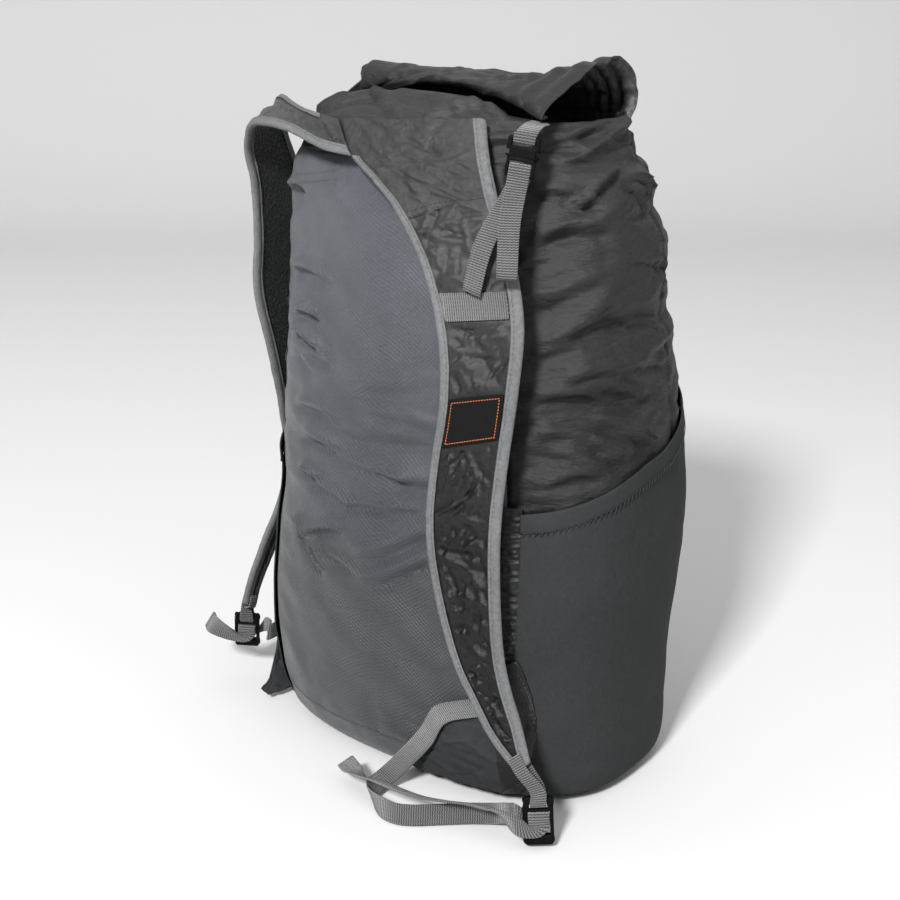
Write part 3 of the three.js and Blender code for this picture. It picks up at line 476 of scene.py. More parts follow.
cols_at = np.interp(turns, coarse_turns, np.arange(len(coarse_turns)))[None, :]
r0 = np.minimum(rows_at.astype(int), len(coarse_z) - 2)
c0 = np.minimum(cols_at.astype(int), len(coarse_turns) - 2)
fr, fc = rows_at - r0, cols_at - c0
slack_here = ((slack[r0, c0] * (1 - fc) + slack[r0, c0 + 1] * fc) * (1 - fr)
              + (slack[r0 + 1, c0] * (1 - fc) + slack[r0 + 1, c0 + 1] * fc) * fr)
SEAM_SINK, SEAM_REACH = 1.4, 3.0
seam_groove = np.zeros(at_z.shape)
for seam in seams[1:-1]:
    away = np.abs((turns - seam + 180) % 360 - 180) * TURN_MM
    seam_groove -= SEAM_SINK * np.exp(-((away / SEAM_REACH) ** 2))[None, :]
on_panel = ((turns >= PANEL_FROM) & (turns <= PANEL_TO))[None, :]
collar_loose = np.where(at_z > NECK_Z + 2, 1.8, 1.0)
crinkle = (creases(smooth_wall, 3, 20, 130, 8, 2.6, lean=0.12, spread=0.2)
           + creases(smooth_wall, 8, 11, 70, 4.0, 1.4, lean=0.1, spread=0.35))
calm = np.where(on_panel & (at_z < NECK_Z), 0.15, 1.0)
height = (slack_here * np.where(on_panel, 0.45, np.where(turns > 8, 0.45, 0.9)[None, :])
          + 1.3 * crinkle * calm * collar_loose + seam_groove)
for rows, strength in ((SIDE_FOLDS, 1.5), (PANEL_FOLDS, 2.5), (COLLAR_FOLDS, 1.1)):
    height = height + strength * folds(turns[None, :], at_z, rows)
height *= np.clip((at_z - 4) / 30, 0, 1)
POCKETS = {"left": (-52, 114), "right": (-142, -100)}  # turn where each starts and how far it goes round


def hem_line(share):
    """Height in mm of a pocket's top edge at a share of its way round the bag."""
    return 230 + 36 * share + 46 * share**2


for start, sweep in POCKETS.values():
    away = ((turns - start) * np.sign(sweep) + 60) % 360 - 60
    inside = (away > -6) & (away < abs(sweep) + 6)
    under_hem = hem_line(np.clip(away / abs(sweep), 0, 1)) - 4 - at_z
    covered = inside[None, :] * np.clip(under_hem / 12, 0, 1)
    height = height * (1 - 0.9 * covered) - 0.8 * covered
height[:, -1] = height[:, 0]
bag_wall = smooth_wall + wall_normals * height[..., None] * MM
wall_uv = np.stack(np.broadcast_arrays(turns[None, :] * TURN_MM * MM, at_z * MM), -1)


def cloth_finish(name, dark, light, rough, weave, crease, grid=None, sheen=0.0, shine=0.4, flow=1.0,
                 painted_low_shade=0.0):
    """Woven cloth: threads of `weave` mm, fine creases drawn out level by `flow`, a ripstop grid if given.

    Its last argument paints shade toward the base, as light from above leaves the lower cloth darker: darker
    below 0.3 m high and lighter up to 0.42 m.
    """
    settings = {"Sheen Weight": sheen, "Sheen Roughness": 0.45, "Specular IOR Level": shine}
    material, wire, shader = new_finish(name, settings)
    places = wire.node("ShaderNodeUVMap", {"uv_map": "cloth"})
    u = wire.node("ShaderNodeSeparateXYZ", {}, {0: places}, 0)
    v = wire.node("ShaderNodeSeparateXYZ", {}, {0: places}, 1)
    body = wire.on_object()
    laid = wire.node("ShaderNodeVectorMath", {"operation": "MULTIPLY"}, {0: body, 1: (1.0, 1.0, flow)})
    cloud = wire.noise(9.0, 5.0, body, rough=0.6)
    broad = wire.noise(34.0, 3.0, laid, rough=0.6)
    speck = wire.noise(420.0, 2.0, body)
    folded = (broad - 0.5).math("ABSOLUTE") * 4.0
    step = 2 * math.pi / (weave * MM)
    threads = (u * step).wave() * (v * step).wave()
    # The colour follows the crease relief too: painted shade in the crease valleys, lighter on the ridges.
    share = cloud * 0.6 + folded * 0.2 * min(crease, 1.0) + (speck - 0.5) * 0.6 + threads * 0.06
    # Painted shade: the colour darkens below 0.3 m high and lightens up to 0.42 m.
    if painted_low_shade:
        high = wire.node("ShaderNodeSeparateXYZ", {}, {0: body}, 2)
        share = share + (high.most(0.42) - 0.3) * painted_low_shade
    relief = folded * crease + threads * 0.02 + speck * 0.03
    if grid:
        a = ((u + v) * (0.7 / (grid * MM))).sawtooth(0.5)
        b = ((u - v) * (0.7 / (grid * MM))).sawtooth(0.5)
        lines = 1 - ((a * 7.0).most(1.0) * (b * 7.0).most(1.0))
        share = share + lines * 0.22 - 0.05
        relief = relief + lines * 0.08
    connect(shader, "Base Color", wire.blend(share, dark, light))
    connect(shader, "Roughness", cloud * 0.22 + (rough - 0.11))
    bump = wire.node("ShaderNodeBump", {}, {"Strength": 1.0, "Distance": 0.003, "Height": relief})
    connect(shader, "Normal", bump)
    return material


# side_cloth and panel_cloth are painted with shade toward the base.
side_cloth = cloth_finish("side_cloth", (0.008, 0.008, 0.0085), (0.028, 0.0285, 0.0295), 0.50, 0.9, 0.26,
                          flow=3.0, shine=0.25, painted_low_shade=2.2)
base_cloth = cloth_finish("base_cloth", (0.016, 0.0178, 0.0185), (0.036, 0.0385, 0.040), 0.75, 1.2, 0.1,
                          shine=0.15)
panel_cloth = cloth_finish("panel_cloth", (0.023, 0.0248, 0.0295), (0.072, 0.0770, 0.0905), 0.45, 0.8, 0.06,
                           grid=2.2, sheen=0.1, flow=2.0, painted_low_shade=2.0)
lining = cloth_finish("lining", (0.007, 0.007, 0.0075), (0.022, 0.022, 0.0225), 0.32, 0.9, 0.6)

panel_from, panel_to = seam_cols[0], seam_cols[1]
shares = np.array([0.0, 0.12, 0.3, 0.5, 0.7, 0.85, 0.95])
centre = np.array([-3 * MM, 0.0, 0.0])
base_rows = centre + (bag_wall[:1] - centre) * shares[:, None, None]


def shell_paint(row, col):
    if row < len(shares) + rise_row:
        return 2 if row > len(shares) + 1 and panel_from <= col < panel_to else 1
    if row >= len(shares) + neck_row:
        return None if FRONT_FROM < turns[col] + 0.5 < FRONT_TO else 0
    return None if panel_from <= col < panel_to else 0


WALL = 1.4
shell = cloth_sheet("bag_shell_cloth", np.concatenate([base_rows, bag_wall]),
                    [side_cloth, base_cloth, panel_cloth, lining],
                    uv=np.concatenate([base_rows[..., :2], wall_uv]), ring=True, paint=shell_paint)
thicken(shell, WALL, lining=3, levels=0)
fixed(shell, "nylon", "bag_shell", "mouth_collar")

# Harness panel: a lighter, smoother ripstop with a fine diamond grid, sewn into the shell on three
# sides, taut in the middle and puckered along its side seams, with a corner of the darker side cloth
# under the yoke at the wearer's left.
panel_cells = (slice(rise_row, neck_row + 1), slice(panel_from, panel_to + 1))
CORNER_Z, CORNER_TURN = 405, -74


def panel_paint(row, col):
    return int(wall_z[rise_row + row] > CORNER_Z and turns[panel_from + col] > CORNER_TURN)


panel = cloth_sheet("harness_panel_cloth", bag_wall[panel_cells], [panel_cloth, side_cloth, lining, lining],
                    uv=wall_uv[panel_cells], paint=panel_paint)
thicken(panel, WALL, lining=2, levels=0)
fixed(panel, "ripstop", "harness_panel")

# Rolled mouth: the front wall goes over the top toward the harness and folds under at its stiff rim,
# open at the wearer's left end, where its pleated inside shows, and drawn in at the other end.
ROLL_ROWS = np.array([
    # left x, y, z, middle y, z, right x, y, z, dip
    (-100, 50, 488, 66, 490, 100, 57, 492, 0), (-100, 38, 505, 54, 505, 103, 50, 513, 4),
    (-100, 18, 519, 30, 517, 105, 32, 526, 7), (-99, 2, 523, 4, 520, 106, 10, 530, 8),
    (-98, -10, 515, -20, 518, 107, -28, 518, 5), (-97, -14, 502, -35, 512, 108, -70, 497, 0),
    (-96, -9, 498, -31, 508, 107, -72, 491.5, 0), (-95, 2, 501, -20, 511, 106, -62, 492, 0)], float)


def curve(points, t):
    """Smooth curve through `points` at shares t of its spans, which doesn't swing past them."""
    points = np.asarray(points, float)
    ends = np.concatenate([[2 * points[0] - points[1]], points, [2 * points[-1] - points[-2]]])
    at = np.asarray(t, float) * (len(points) - 1)
    i = np.clip(at.astype(int), 0, len(points) - 2)
    w = (at - i).reshape((-1,) + (1,) * (points.ndim - 1))
    p = [ends[i + k] for k in range(4)]
    d = [np.maximum(np.linalg.norm(p[k + 1] - p[k], axis=-1, keepdims=True), 1e-9) ** 0.5 for k in range(3)]
    m1 = ((p[1] - p[0]) / d[0] - (p[2] - p[0]) / (d[0] + d[1]) + (p[2] - p[1]) / d[1]) * d[1]
    m2 = ((p[2] - p[1]) / d[1] - (p[3] - p[1]) / (d[1] + d[2]) + (p[3] - p[2]) / d[2]) * d[1]
    return ((2 * w**3 - 3 * w**2 + 1) * p[1] + (w**3 - 2 * w**2 + w) * m1
            + (3 * w**2 - 2 * w**3) * p[2] + (w**3 - w**2) * m2)


roll_u = np.linspace(1, -1, 73)
roll_side = (roll_u + 1) / 2
left_part = 2 * (roll_side - 0.5) * (roll_side - 1)
middle_part = 4 * roll_side * (1 - roll_side)
right_part = 2 * roll_side * (roll_side - 0.5)
front_turns = 141 - 102 * roll_side
roll_lines = [wall(front_turns, NECK_Z - 4.0, 0.6), wall(front_turns, NECK_Z + 14, -1.0)]
for xl, yl, zl, ym, zm, xr, yr, zr, dip in ROLL_ROWS:
    sag = dip * np.exp(-(((roll_u - 0.45) / 0.3) ** 2))
    roll_lines.append(np.stack([
        xl * (1 - roll_side) + xr * roll_side, yl * left_part + ym * middle_part + yr * right_part,
        zl * left_part + zm * middle_part + zr * right_part - sag], -1) * MM)
roll_share = np.linspace(0, 1, 73)
roll_points = curve(roll_lines, roll_share)
roll_end = roll_points[:, -1]
end_middle = roll_end[30:].mean(0)
for draw in (0.12, 0.35, 0.6, 0.85):
    bulge = np.array([4.0 * MM * math.sin(draw * 2.0), 0, 0])
    tuck = end_middle + (roll_end - end_middle) * (1 - draw) - bulge
    roll_points = np.concatenate([roll_points, tuck[:, None]], 1)
    roll_u = np.append(roll_u, -1 - draw)


def hump(away, wide):
    return np.exp(-((away / wide) ** 2))


PLEATS = [
    # place along the roll, lean, depth
    (0.9, 0.02, 1.6), (0.74, -0.03, 2.2), (0.55, 0.05, 1.8), (0.3, -0.06, 1.4), (-0.2, 0.08, 1.2),
    (-0.7, -0.05, 1.4)]
roll_height = (creases(roll_points, 7, 8, 130, 4, 4.0, spread=0.12)
               + creases(roll_points, 5, 9, 60, 4, 1.6, spread=0.35)
               + creases(roll_points, 2, 8, 24, 2.5, 0.7, spread=1.0))
over = roll_share[:, None]
for place, lean, deep in PLEATS:
    away = roll_u[None, :] - place - lean * (over - 0.6) * 2
    roll_height += deep * hump(over - 0.62, 0.22) * (hump(away, 0.035) - 0.8 * hump(away - 0.07, 0.03))
gathered = np.clip((roll_u - 0.5) / 0.25, 0, 1)[None, :] * hump(over - 0.32, 0.14)
roll_height += 2.6 * gathered * np.sin(52 * roll_u + 1.5 * np.sin(9 * roll_u))[None, :]
roll_points = roll_points + grid_normals(roll_points) * roll_height[..., None] * MM
roll_cloth = cloth_finish("roll_cloth", (0.006, 0.006, 0.0064), (0.019, 0.0193, 0.020), 0.46, 0.9, 0.3,
                          flow=3.0, shine=0.3)
# The roll's lining is painted several times lighter than the black lining elsewhere, as painted light in its
# shaded inside so its pleats show.
roll_lining_painted_light = cloth_finish("roll_lining_painted_light", (0.03, 0.03, 0.031), (0.14, 0.141, 0.143), 0.34, 0.9, 0.8)
roll = cloth_sheet("roll_top_cloth", roll_points, [roll_cloth, roll_lining_painted_light])
thicken(roll, WALL, lining=1)
fixed(roll, "nylon", "roll_top")

# Yoke and shoulder straps: thin foam between a shiny crinkled cloth outside and black spacer mesh
# inside. The left strap lies on the harness panel, and the right one stands off the far side.
LEFT_ROWS = np.array([
    # inner edge x, y, z, outer edge x, y, z, bow of the middle
    (-62, -74.5, 485, 63, -72.5, 490, -5.3), (-36, -93, 463, 75, -84, 466, -3),
    (-13, -99, 449, 82, -89, 454, -1), (8, -102, 433, 88, -92, 442, 0),
    (36, -107, 400, 106, -98, 406, 0), (56, -113, 356, 119, -105, 366, 0),
    (62, -118, 310, 119, -110, 323, 0), (55, -120, 259, 115, -114, 278, 0),
    (52, -121, 216, 111, -116, 234, 0), (58, -121, 175, 111, -117, 192, 0),
    (75, -120, 121, 115, -117, 138, 0), (89, -119, 97, 121, -117, 114, 0),
    (107, -119, 72, 130, -117, 91, 0), (129, -119, 53, 139, -117, 62, 0)], float)
RIGHT_ROWS = np.array([
    # the same columns
    (-37, -93, 463, -63, -77, 485, 0), (-59, -98, 467, -83, -73, 487, 0),
    (-91, -97, 477, -109, -63, 489, 0), (-120, -91, 480, -135, -46, 491, 0),
    (-147, -82, 477, -163, -31, 495, 0), (-163, -72, 458, -177, -18, 476, 0),
    (-166, -64, 430, -176, -4, 438, 0), (-166, -63, 392, -175, -2, 397, 0),
    (-167, -65, 350, -174, -5, 355, 0), (-166, -52, 292, -174, 4, 298, 0),
    (-168, -41, 246, -176, 4, 250, 0), (-171, -33, 200, -180, -1, 200, 0),
    (-174, -40, 166, -182, -17, 160, 0), (-180, -55, 132, -186, -34, 124, 0),
    (-189, -64, 98, -194, -46, 90, 0), (-197, -65, 73, -200, -50, 67, 0)], float)
SEAM_SHARE = 3 / 13
LEFT_BAND, LEFT_LABEL, RIGHT_BAND = 4.7, 6.35, 7.0  # rows that the bands and the label lie on


def unit(vectors):
    return vectors / np.maximum(np.linalg.norm(vectors, axis=-1, keepdims=True), 1e-12)


def strap_frames(rows, t):
    """Edges, directions and bow of a flat strap at shares t of its length."""
    t = np.asarray(t, float)

    def edge(first, at):
        return curve(rows[:, first:first + 3], np.clip(at, 0, 1).ravel()).reshape(t.shape + (3,)) * MM

    a, b = edge(0, t), edge(3, t)
    along = unit(edge(0, t + 0.002) + edge(3, t + 0.002) - edge(0, t - 0.002) - edge(3, t - 0.002))
    across = unit(b - a)
    bow = through(np.arange(len(rows), dtype=float), rows[:, 6], t * (len(rows) - 1)) * MM
    return {"a": a, "b": b, "along": along, "across": across, "bow": bow,
            "normal": unit(np.cross(across, along))}


def wide_frames(f):
    return f if f["a"].ndim == 3 else {key: value[:, None] for key, value in f.items()}


def on_strap(f, share, lift):
    """Points at shares across a strap, lifted off its middle by `lift` mm."""
    f = wide_frames(f)
    share = np.broadcast_to(share, (len(f["a"]), np.shape(share)[-1]))
    points = f["a"] + (f["b"] - f["a"]) * share[..., None]
    points[..., 1] += f["bow"] * (1 - (2 * share - 1) ** 2)
    return points + f["normal"] * (np.broadcast_to(lift, share.shape) * MM)[..., None]


def half_thick(f, share):
    """Half thickness in mm: full in the middle, pressed thin where the edges are bound."""
    f = wide_frames(f)
    width = np.linalg.norm(f["b"] - f["a"], axis=-1) / MM
    edge = np.minimum(share, 1 - share) * width
    return 1.2 + 0.9 * (1 - np.exp(-edge / 4.0))


def padded_strap(name, rows, start, end, steps, cloth_side, finishes, rough, seed, extra=0.0, flats=()):
    """A closed pad from one slanting end to the other, with cloth on one face and mesh on the other."""
    share = np.linspace(0, 1, 49)
    t = start(share) + (end(share) - start(share)) * np.linspace(0, 1, steps)[:, None]
    f = strap_frames(rows, t)
    half = half_thick(f, share[None, :]) + extra
    top, under = on_strap(f, share, half), on_strap(f, share, -half)
    width = np.linalg.norm(f["b"] - f["a"], axis=-1) / MM
    rest = np.clip((np.minimum(share, 1 - share)[None, :] * width - 7.5) / 5, 0, 1)
    for row, reach in flats:
        rest = rest * np.clip((np.abs(t * (len(rows) - 1) - row) - reach) / 0.12, 0, 1)
    rough = rough * rest * (creases(top, seed, 4.4, 40, 2.6, 3.2, lean=0.4, spread=0.8)
                           + creases(top, seed + 1, 2.6, 18, 1.8, 1.7, lean=0.4, spread=1.0))
    if cloth_side > 0:
        top = top + f["normal"] * rough[..., None] * MM
    else:
        under = under - f["normal"] * rough[..., None] * MM
    ring = np.concatenate([top, under[:, ::-1], top[:, :1]], 1)
    run = arc_lengths((f["a"] + f["b"]) / 2, 0)
    lay = share[None, :] * np.linalg.norm(f["b"] - f["a"], axis=-1)
    uv = np.stack([np.concatenate([lay, lay[:, ::-1], lay[:, :1]], 1),
                   np.concatenate([run, run[:, ::-1], run[:, :1]], 1)], -1)
    front = 0 if cloth_side > 0 else 1
    piece = cloth_sheet(name, ring, finishes, uv=uv, ring=True, caps=True,
                        paint=lambda r, c: front if c < len(share) else 1 - front)
    return piece


# strap_cloth is painted with strong shade toward the base.
strap_cloth = cloth_finish("strap_cloth", (0.003, 0.003, 0.0033), (0.034, 0.0342, 0.0350), 0.31, 0.8, 0.3,
                           shine=0.3, painted_low_shade=4.0)
yoke_cloth = cloth_finish("yoke_cloth", (0.013, 0.013, 0.0139), (0.042, 0.0422, 0.0440), 0.48, 0.8, 0.4)
spacer_mesh, wire, shader = new_finish("spacer_mesh", {"Specular IOR Level": 0.35})
places = wire.node("ShaderNodeUVMap", {"uv_map": "cloth"})
cells = wire.node("ShaderNodeTexVoronoi", {"voronoi_dimensions": "2D"}, {"Vector": places, "Scale": 420.0})
stops = [(0.12, (0.0030, 0.0032, 0.0034)), (0.5, (0.0250, 0.0265, 0.0280))]
connect(shader, "Base Color", wire.node("ShaderNodeValToRGB", {"stops": stops}, {"Fac": cells}))
connect(shader, "Roughness", 0.8 - cells * 0.3)
bump = wire.node("ShaderNodeBump", {}, {"Strength": 0.7, "Distance": 0.0008, "Height": cells})
connect(shader, "Normal", bump)


def yoke_seam(share):
    return SEAM_SHARE + 0.0045 + 0.037 * (0.5 - share)


left_strap = padded_strap("left_strap_pad", LEFT_ROWS, yoke_seam, np.ones_like, 280, -1,
                          [strap_cloth, spacer_mesh], 1.0, 11, flats=((LEFT_BAND, 0.22), (LEFT_LABEL, 0.36)))
fixed(left_strap, "mesh", "left_strap")
right_strap = padded_strap("right_strap_pad", RIGHT_ROWS, np.zeros_like, np.ones_like, 260, 1,
                           [strap_cloth, spacer_mesh], 0.5, 15, flats=((RIGHT_BAND, 0.28),))
fixed(right_strap, "mesh", "right_strap")
yoke = padded_strap("yoke_pad", LEFT_ROWS, np.zeros_like, lambda share: yoke_seam(share) + 0.004, 80, -1,
                    [yoke_cloth, spacer_mesh], 0.6, 21, extra=0.25)
fixed(yoke, "nylon", "yoke")

# Bindings: light grey tape folded round the straps' edges and sewn down with one row of stitches,
# which pulls a shallow groove into it.
tape_cloth = cloth_finish("tape_cloth", (0.062, 0.063, 0.0645), (0.215, 0.217, 0.222), 0.8, 0.9, 0.15,
                          shine=0.15)


def thread(name, rough, dark, light):
    material, wire, shader = new_finish(name, {"Roughness": rough})
    connect(shader, "Base Color", wire.blend(wire.noise(900.0, 2.0), dark, light))
    return material


grey_thread = thread("thread", 0.7, (0.0225, 0.0225, 0.0234), (0.0630, 0.0630, 0.0653))
BIND_PATH = np.array([
    # distance in from the edge, height over the strap's own face
    (7.5, 0.75), (7.0, 0.95), (6.2, 0.9), (5.6, 0.62), (5.0, 0.62), (4.4, 0.9), (2.6, 1.0), (1.0, 0.95),
    (-0.4, 0.6)])


def stitch_row(bm, points, normals, long, gap, thick, slant=0.0):
    """Adds a row of stitches along a line; slant turns each one about its normal, in radians."""
    run = arc_lengths(points[:, None], 0)[:, 0]
    for at in np.arange(long * 0.5 * MM, run[-1] - long * 0.5 * MM, (long + gap) * MM):
        spot, ahead, up = (Vector([np.interp(place, run, line[:, k]) for k in range(3)])
                           for place, line in ((at, points), (at + 0.5 * MM, points), (at, normals)))
        way = (ahead - spot).normalized()
        up = (up - way * up.dot(way)).normalized()
        turned = way * math.cos(slant) + up.cross(way) * math.sin(slant)
        axes = Matrix((turned, up.cross(turned), up)).transposed().to_4x4()
        scale = Matrix.Diagonal((long * 0.5 * MM, thick * 0.5 * MM, thick * 0.35 * MM, 1.0))
        bmesh.ops.create_icosphere(bm, subdivisions=1, radius=1.0,
                                   matrix=Matrix.Translation(spot) @ axes @ scale)


def thread_piece(name, bm, finish, slot):
    smooth_all(bm)
    fixed(placed(name, bm, finish), slot)


def binding(name, f, side, face, node):
    """Folded tape on one edge of a strap, with its stitches on the face that shows."""
    width = np.linalg.norm(f["b"] - f["a"], axis=-1)[:, None] / MM
    edge = f["a"] if side == "inner" else f["b"]
    deep = np.minimum(BIND_PATH[:, 0][None, :], width * 0.38)
    share = np.clip(deep / width, 0, 1)
    into = f["across"] if side == "inner" else -f["across"]
    if side == "outer":
        share = 1 - share
    lift = half_thick(f, share) + BIND_PATH[:, 1][None, :]
    lift[:, -1] = 1.1
    out = np.minimum(deep, 0)[..., None] * MM * into[:, None]
    upper = on_strap(f, share, lift) + out
    lower = on_strap(f, share, -lift) + out
    fold = (edge - into * 1.1 * MM)[:, None]
    ripple = creases(upper, 31, 5, 9, 3, 0.35, spread=1.2, soft=True)[..., None] * f["normal"][:, None] * MM
    upper, lower = upper + ripple, lower + ripple
    path = np.concatenate([upper, fold, lower[:, ::-1]], 1)
    if side == "inner":
        path = path[:, ::-1]
    piece = cloth_sheet(name, path, [tape_cloth])
    thicken(piece, 0.7, levels=0)
    fixed(piece, "grosgrain", node)
    line = (upper if face > 0 else lower)[:, 3:5].mean(1)
    stitch_row(tape_stitches, line + f["normal"] * face * 0.1 * MM, f["normal"] * face, 2.2, 1.2, 0.5)


tape_stitches = bmesh.new()
left_frames = strap_frames(LEFT_ROWS, np.linspace(0, 1, 210))
right_frames = strap_frames(RIGHT_ROWS, np.linspace(0, 1, 220))


def after(f, start):
    """The part of a strap past a share of its length."""
    first = round((len(f["a"]) - 1) * start)
    return {key: value[first:] for key, value in f.items()}


binding("left_inner_tape", after(left_frames, 2.1 / 26), "inner", -1, "left_inner_binding")
binding("left_outer_tape", left_frames, "outer", -1, "left_outer_binding")
binding("right_inner_tape", right_frames, "inner", 1, "right_inner_binding")
binding("right_outer_tape", after(right_frames, 2 / 30), "outer", 1, "right_outer_binding")
across = np.linspace(0.1, 0.9, 30)
for by in (-0.006, 0.001):
    f = strap_frames(LEFT_ROWS, (yoke_seam(across) + by)[None, :])
    line = on_strap(f, across, -half_thick(f, across[None, :]) - 0.9)[0]
    stitch_row(tape_stitches, line, -f["normal"][0], 2.4, 1.4, 0.7)
thread_piece("tape_stitches", tape_stitches, grey_thread, "grosgrain")

# Seam stitching: rows of dark thread along the panel's top edge, the side seam under the clip and the
# seam between side and front.
SEAM_ROWS = [
    # turn and height of the points along each row
    [(-147, 436), (-128, 443), (-105, 450)], [(-147, 430), (-128, 437), (-105, 444)],
    [(-50, 422), (-43, 434), (-35, 444)], [(-48.5, 420), (-41.5, 432), (-33.5, 442)],
    [(10, 424), (14, 395), (15, 362), (14, 315), (13, 268)]]
seam_stitches = bmesh.new()
for row in SEAM_ROWS:
    row = np.array(row, float)
    share = np.linspace(0, 1, 60)
    row_turns, row_z = (np.interp(share, np.linspace(0, 1, len(row)), row[:, k]) for k in (0, 1))
    cols = np.interp(row_turns, turns, np.arange(len(turns))).round().astype(int)
    levels = np.interp(row_z, wall_z, np.arange(len(wall_z))).round().astype(int)
    normal = wall_normals[levels, cols]
    line = wall(row_turns, row_z) + normal * (height[levels, cols] + 0.2)[:, None] * MM
    stitch_row(seam_stitches, line, normal, 2.6, 1.2, 0.6)
thread_piece("seam_stitches", seam_stitches, grey_thread, "nylon")

# Chest bands and label: 20 mm webbing sewn flat across each strap, and a plain black label with a
# thin orange stitched frame on the left strap.
webbing_cloth, wire, shader = new_finish("webbing_cloth", {"Specular IOR Level": 0.3, "Sheen Weight": 0.2})
places = wire.node("ShaderNodeUVMap", {"uv_map": "cloth"})
u = wire.node("ShaderNodeSeparateXYZ", {}, {0: places}, 0)
v = wire.node("ShaderNodeSeparateXYZ", {}, {0: places}, 1)
cords = (u * (2 * math.pi / (2.6 * MM))).wave()
picks = (v * (2 * math.pi / (1.7 * MM)) + cords * 0.6).wave()
worn = wire.noise(60.0, 4.0)
tone = wire.blend(worn * 0.7 + picks * 0.6 + 0.1, (0.022, 0.0224, 0.0232), (0.135, 0.136, 0.139))
connect(shader, "Base Color", tone)
connect(shader, "Roughness", worn * 0.2 + 0.62)
ribs = picks * 0.6 + cords * 0.2
bump = wire.node("ShaderNodeBump", {}, {"Strength": 0.9, "Distance": 0.0007, "Height": ribs})
connect(shader, "Normal", bump)
label_cloth = cloth_finish("label_cloth", (0.003, 0.003, 0.003), (0.007, 0.007, 0.0075), 0.7, 0.6, 0.05,
                           shine=0.1)
orange_thread = thread("orange_thread", 0.6, (0.42, 0.09, 0.012), (0.70, 0.19, 0.03))


def across_piece(name, rows, row, long, face, lift, thick, finish):
    """A flat piece sewn across a strap between its bindings, `long` mm along the strap."""
    reach = np.linalg.norm(curve(rows[:, 0:3], [(row + 0.1) / (len(rows) - 1)])
                           - curve(rows[:, 0:3], [row / (len(rows) - 1)])) * 10
    half = long / 2 / reach
    f = strap_frames(rows, np.linspace(row - half, row + half, 13) / (len(rows) - 1))
    inset = (7.8 / (np.linalg.norm(f["b"] - f["a"], axis=-1) / MM))[:, None]
    share = inset + (1 - 2 * inset) * np.linspace(0, 1, 15)[None, :]
    points = on_strap(f, share, (half_thick(f, share) + lift) * face)
    if face < 0:
        points = points[:, ::-1]
    uv = np.stack([arc_lengths(points, 0), arc_lengths(points, 1)], -1)
    piece = cloth_sheet(name, points, [finish], uv=uv)
    thicken(piece, thick)
    return piece, points, f["normal"] * face


BAND_WIDTH, LABEL_HEIGHT = 20, 36
for side, rows, row, face in (("left", LEFT_ROWS, LEFT_BAND, -1), ("right", RIGHT_ROWS, RIGHT_BAND, 1)):
    band = across_piece(side + "_chest_webbing", rows, row, BAND_WIDTH, face, 1.9, 1.3, webbing_cloth)[0]
    fixed(band, "webbing", side + "_chest_band")
label, points, normal = across_piece(
    "left_strap_label", LEFT_ROWS, LEFT_LABEL, LABEL_HEIGHT, -1, 1.6, 0.9, label_cloth)
fixed(label, "label", "left_label")
label_stitches = bmesh.new()
border = np.concatenate([points[1, 1:-1], points[1:-1, -2], points[-2, -2:0:-1], points[-2:0:-1, 1]])
middle = np.repeat(normal.mean(0)[None], len(border), 0)
stitch_row(label_stitches, border + middle * 0.15 * MM, middle, 1.6, 0.5, 0.7)
thread_piece("label_stitches", label_stitches, orange_thread, "label")

# Ladder locks and their loops: moulded dark plastic frames with four bars, each hung from its strap's
# end by a narrow loop of webbing.
moulded, wire, shader = new_finish("moulded_plastic", {"Specular IOR Level": 0.06})
grain = wire.noise(700.0, 3.0)
connect(shader, "Base Color", wire.blend(grain, (0.0012, 0.0012, 0.0013), (0.0030, 0.0030, 0.0032)))
connect(shader, "Roughness", grain * 0.2 + 0.4)
bump = wire.node("ShaderNodeBump", {}, {"Strength": 0.25, "Distance": 0.0002, "Height": grain})
connect(shader, "Normal", bump)
LOCKS = {"left": ((144.5, -114, 37), (0.17, -0.16, -0.97), (-0.79, -0.61, -0.04)),
         "right": ((-201, -58, 60), (-0.2, 0.15, -0.97), (-0.79, -0.61, 0.06))}
LOCK_OVER = 3.2


class BuckleFrame:
    """Places on a buckle, in mm: across its width, along its length and out of its face."""

    def __init__(self, at, long, wide):
        self.at = np.array(at, float)
        self.long = unit(np.array(long, float))
        self.face = unit(np.cross(np.array(wide, float), self.long))
        self.wide = np.cross(self.long, self.face)

    def spot(self, across, along, out):
        return self.at + self.wide * across + self.long * along + self.face * out

    def matrix(self):
        return Matrix.Translation(Vector(self.at * MM)) @ Matrix(
            (self.wide, self.long, self.face)).transposed().to_4x4()


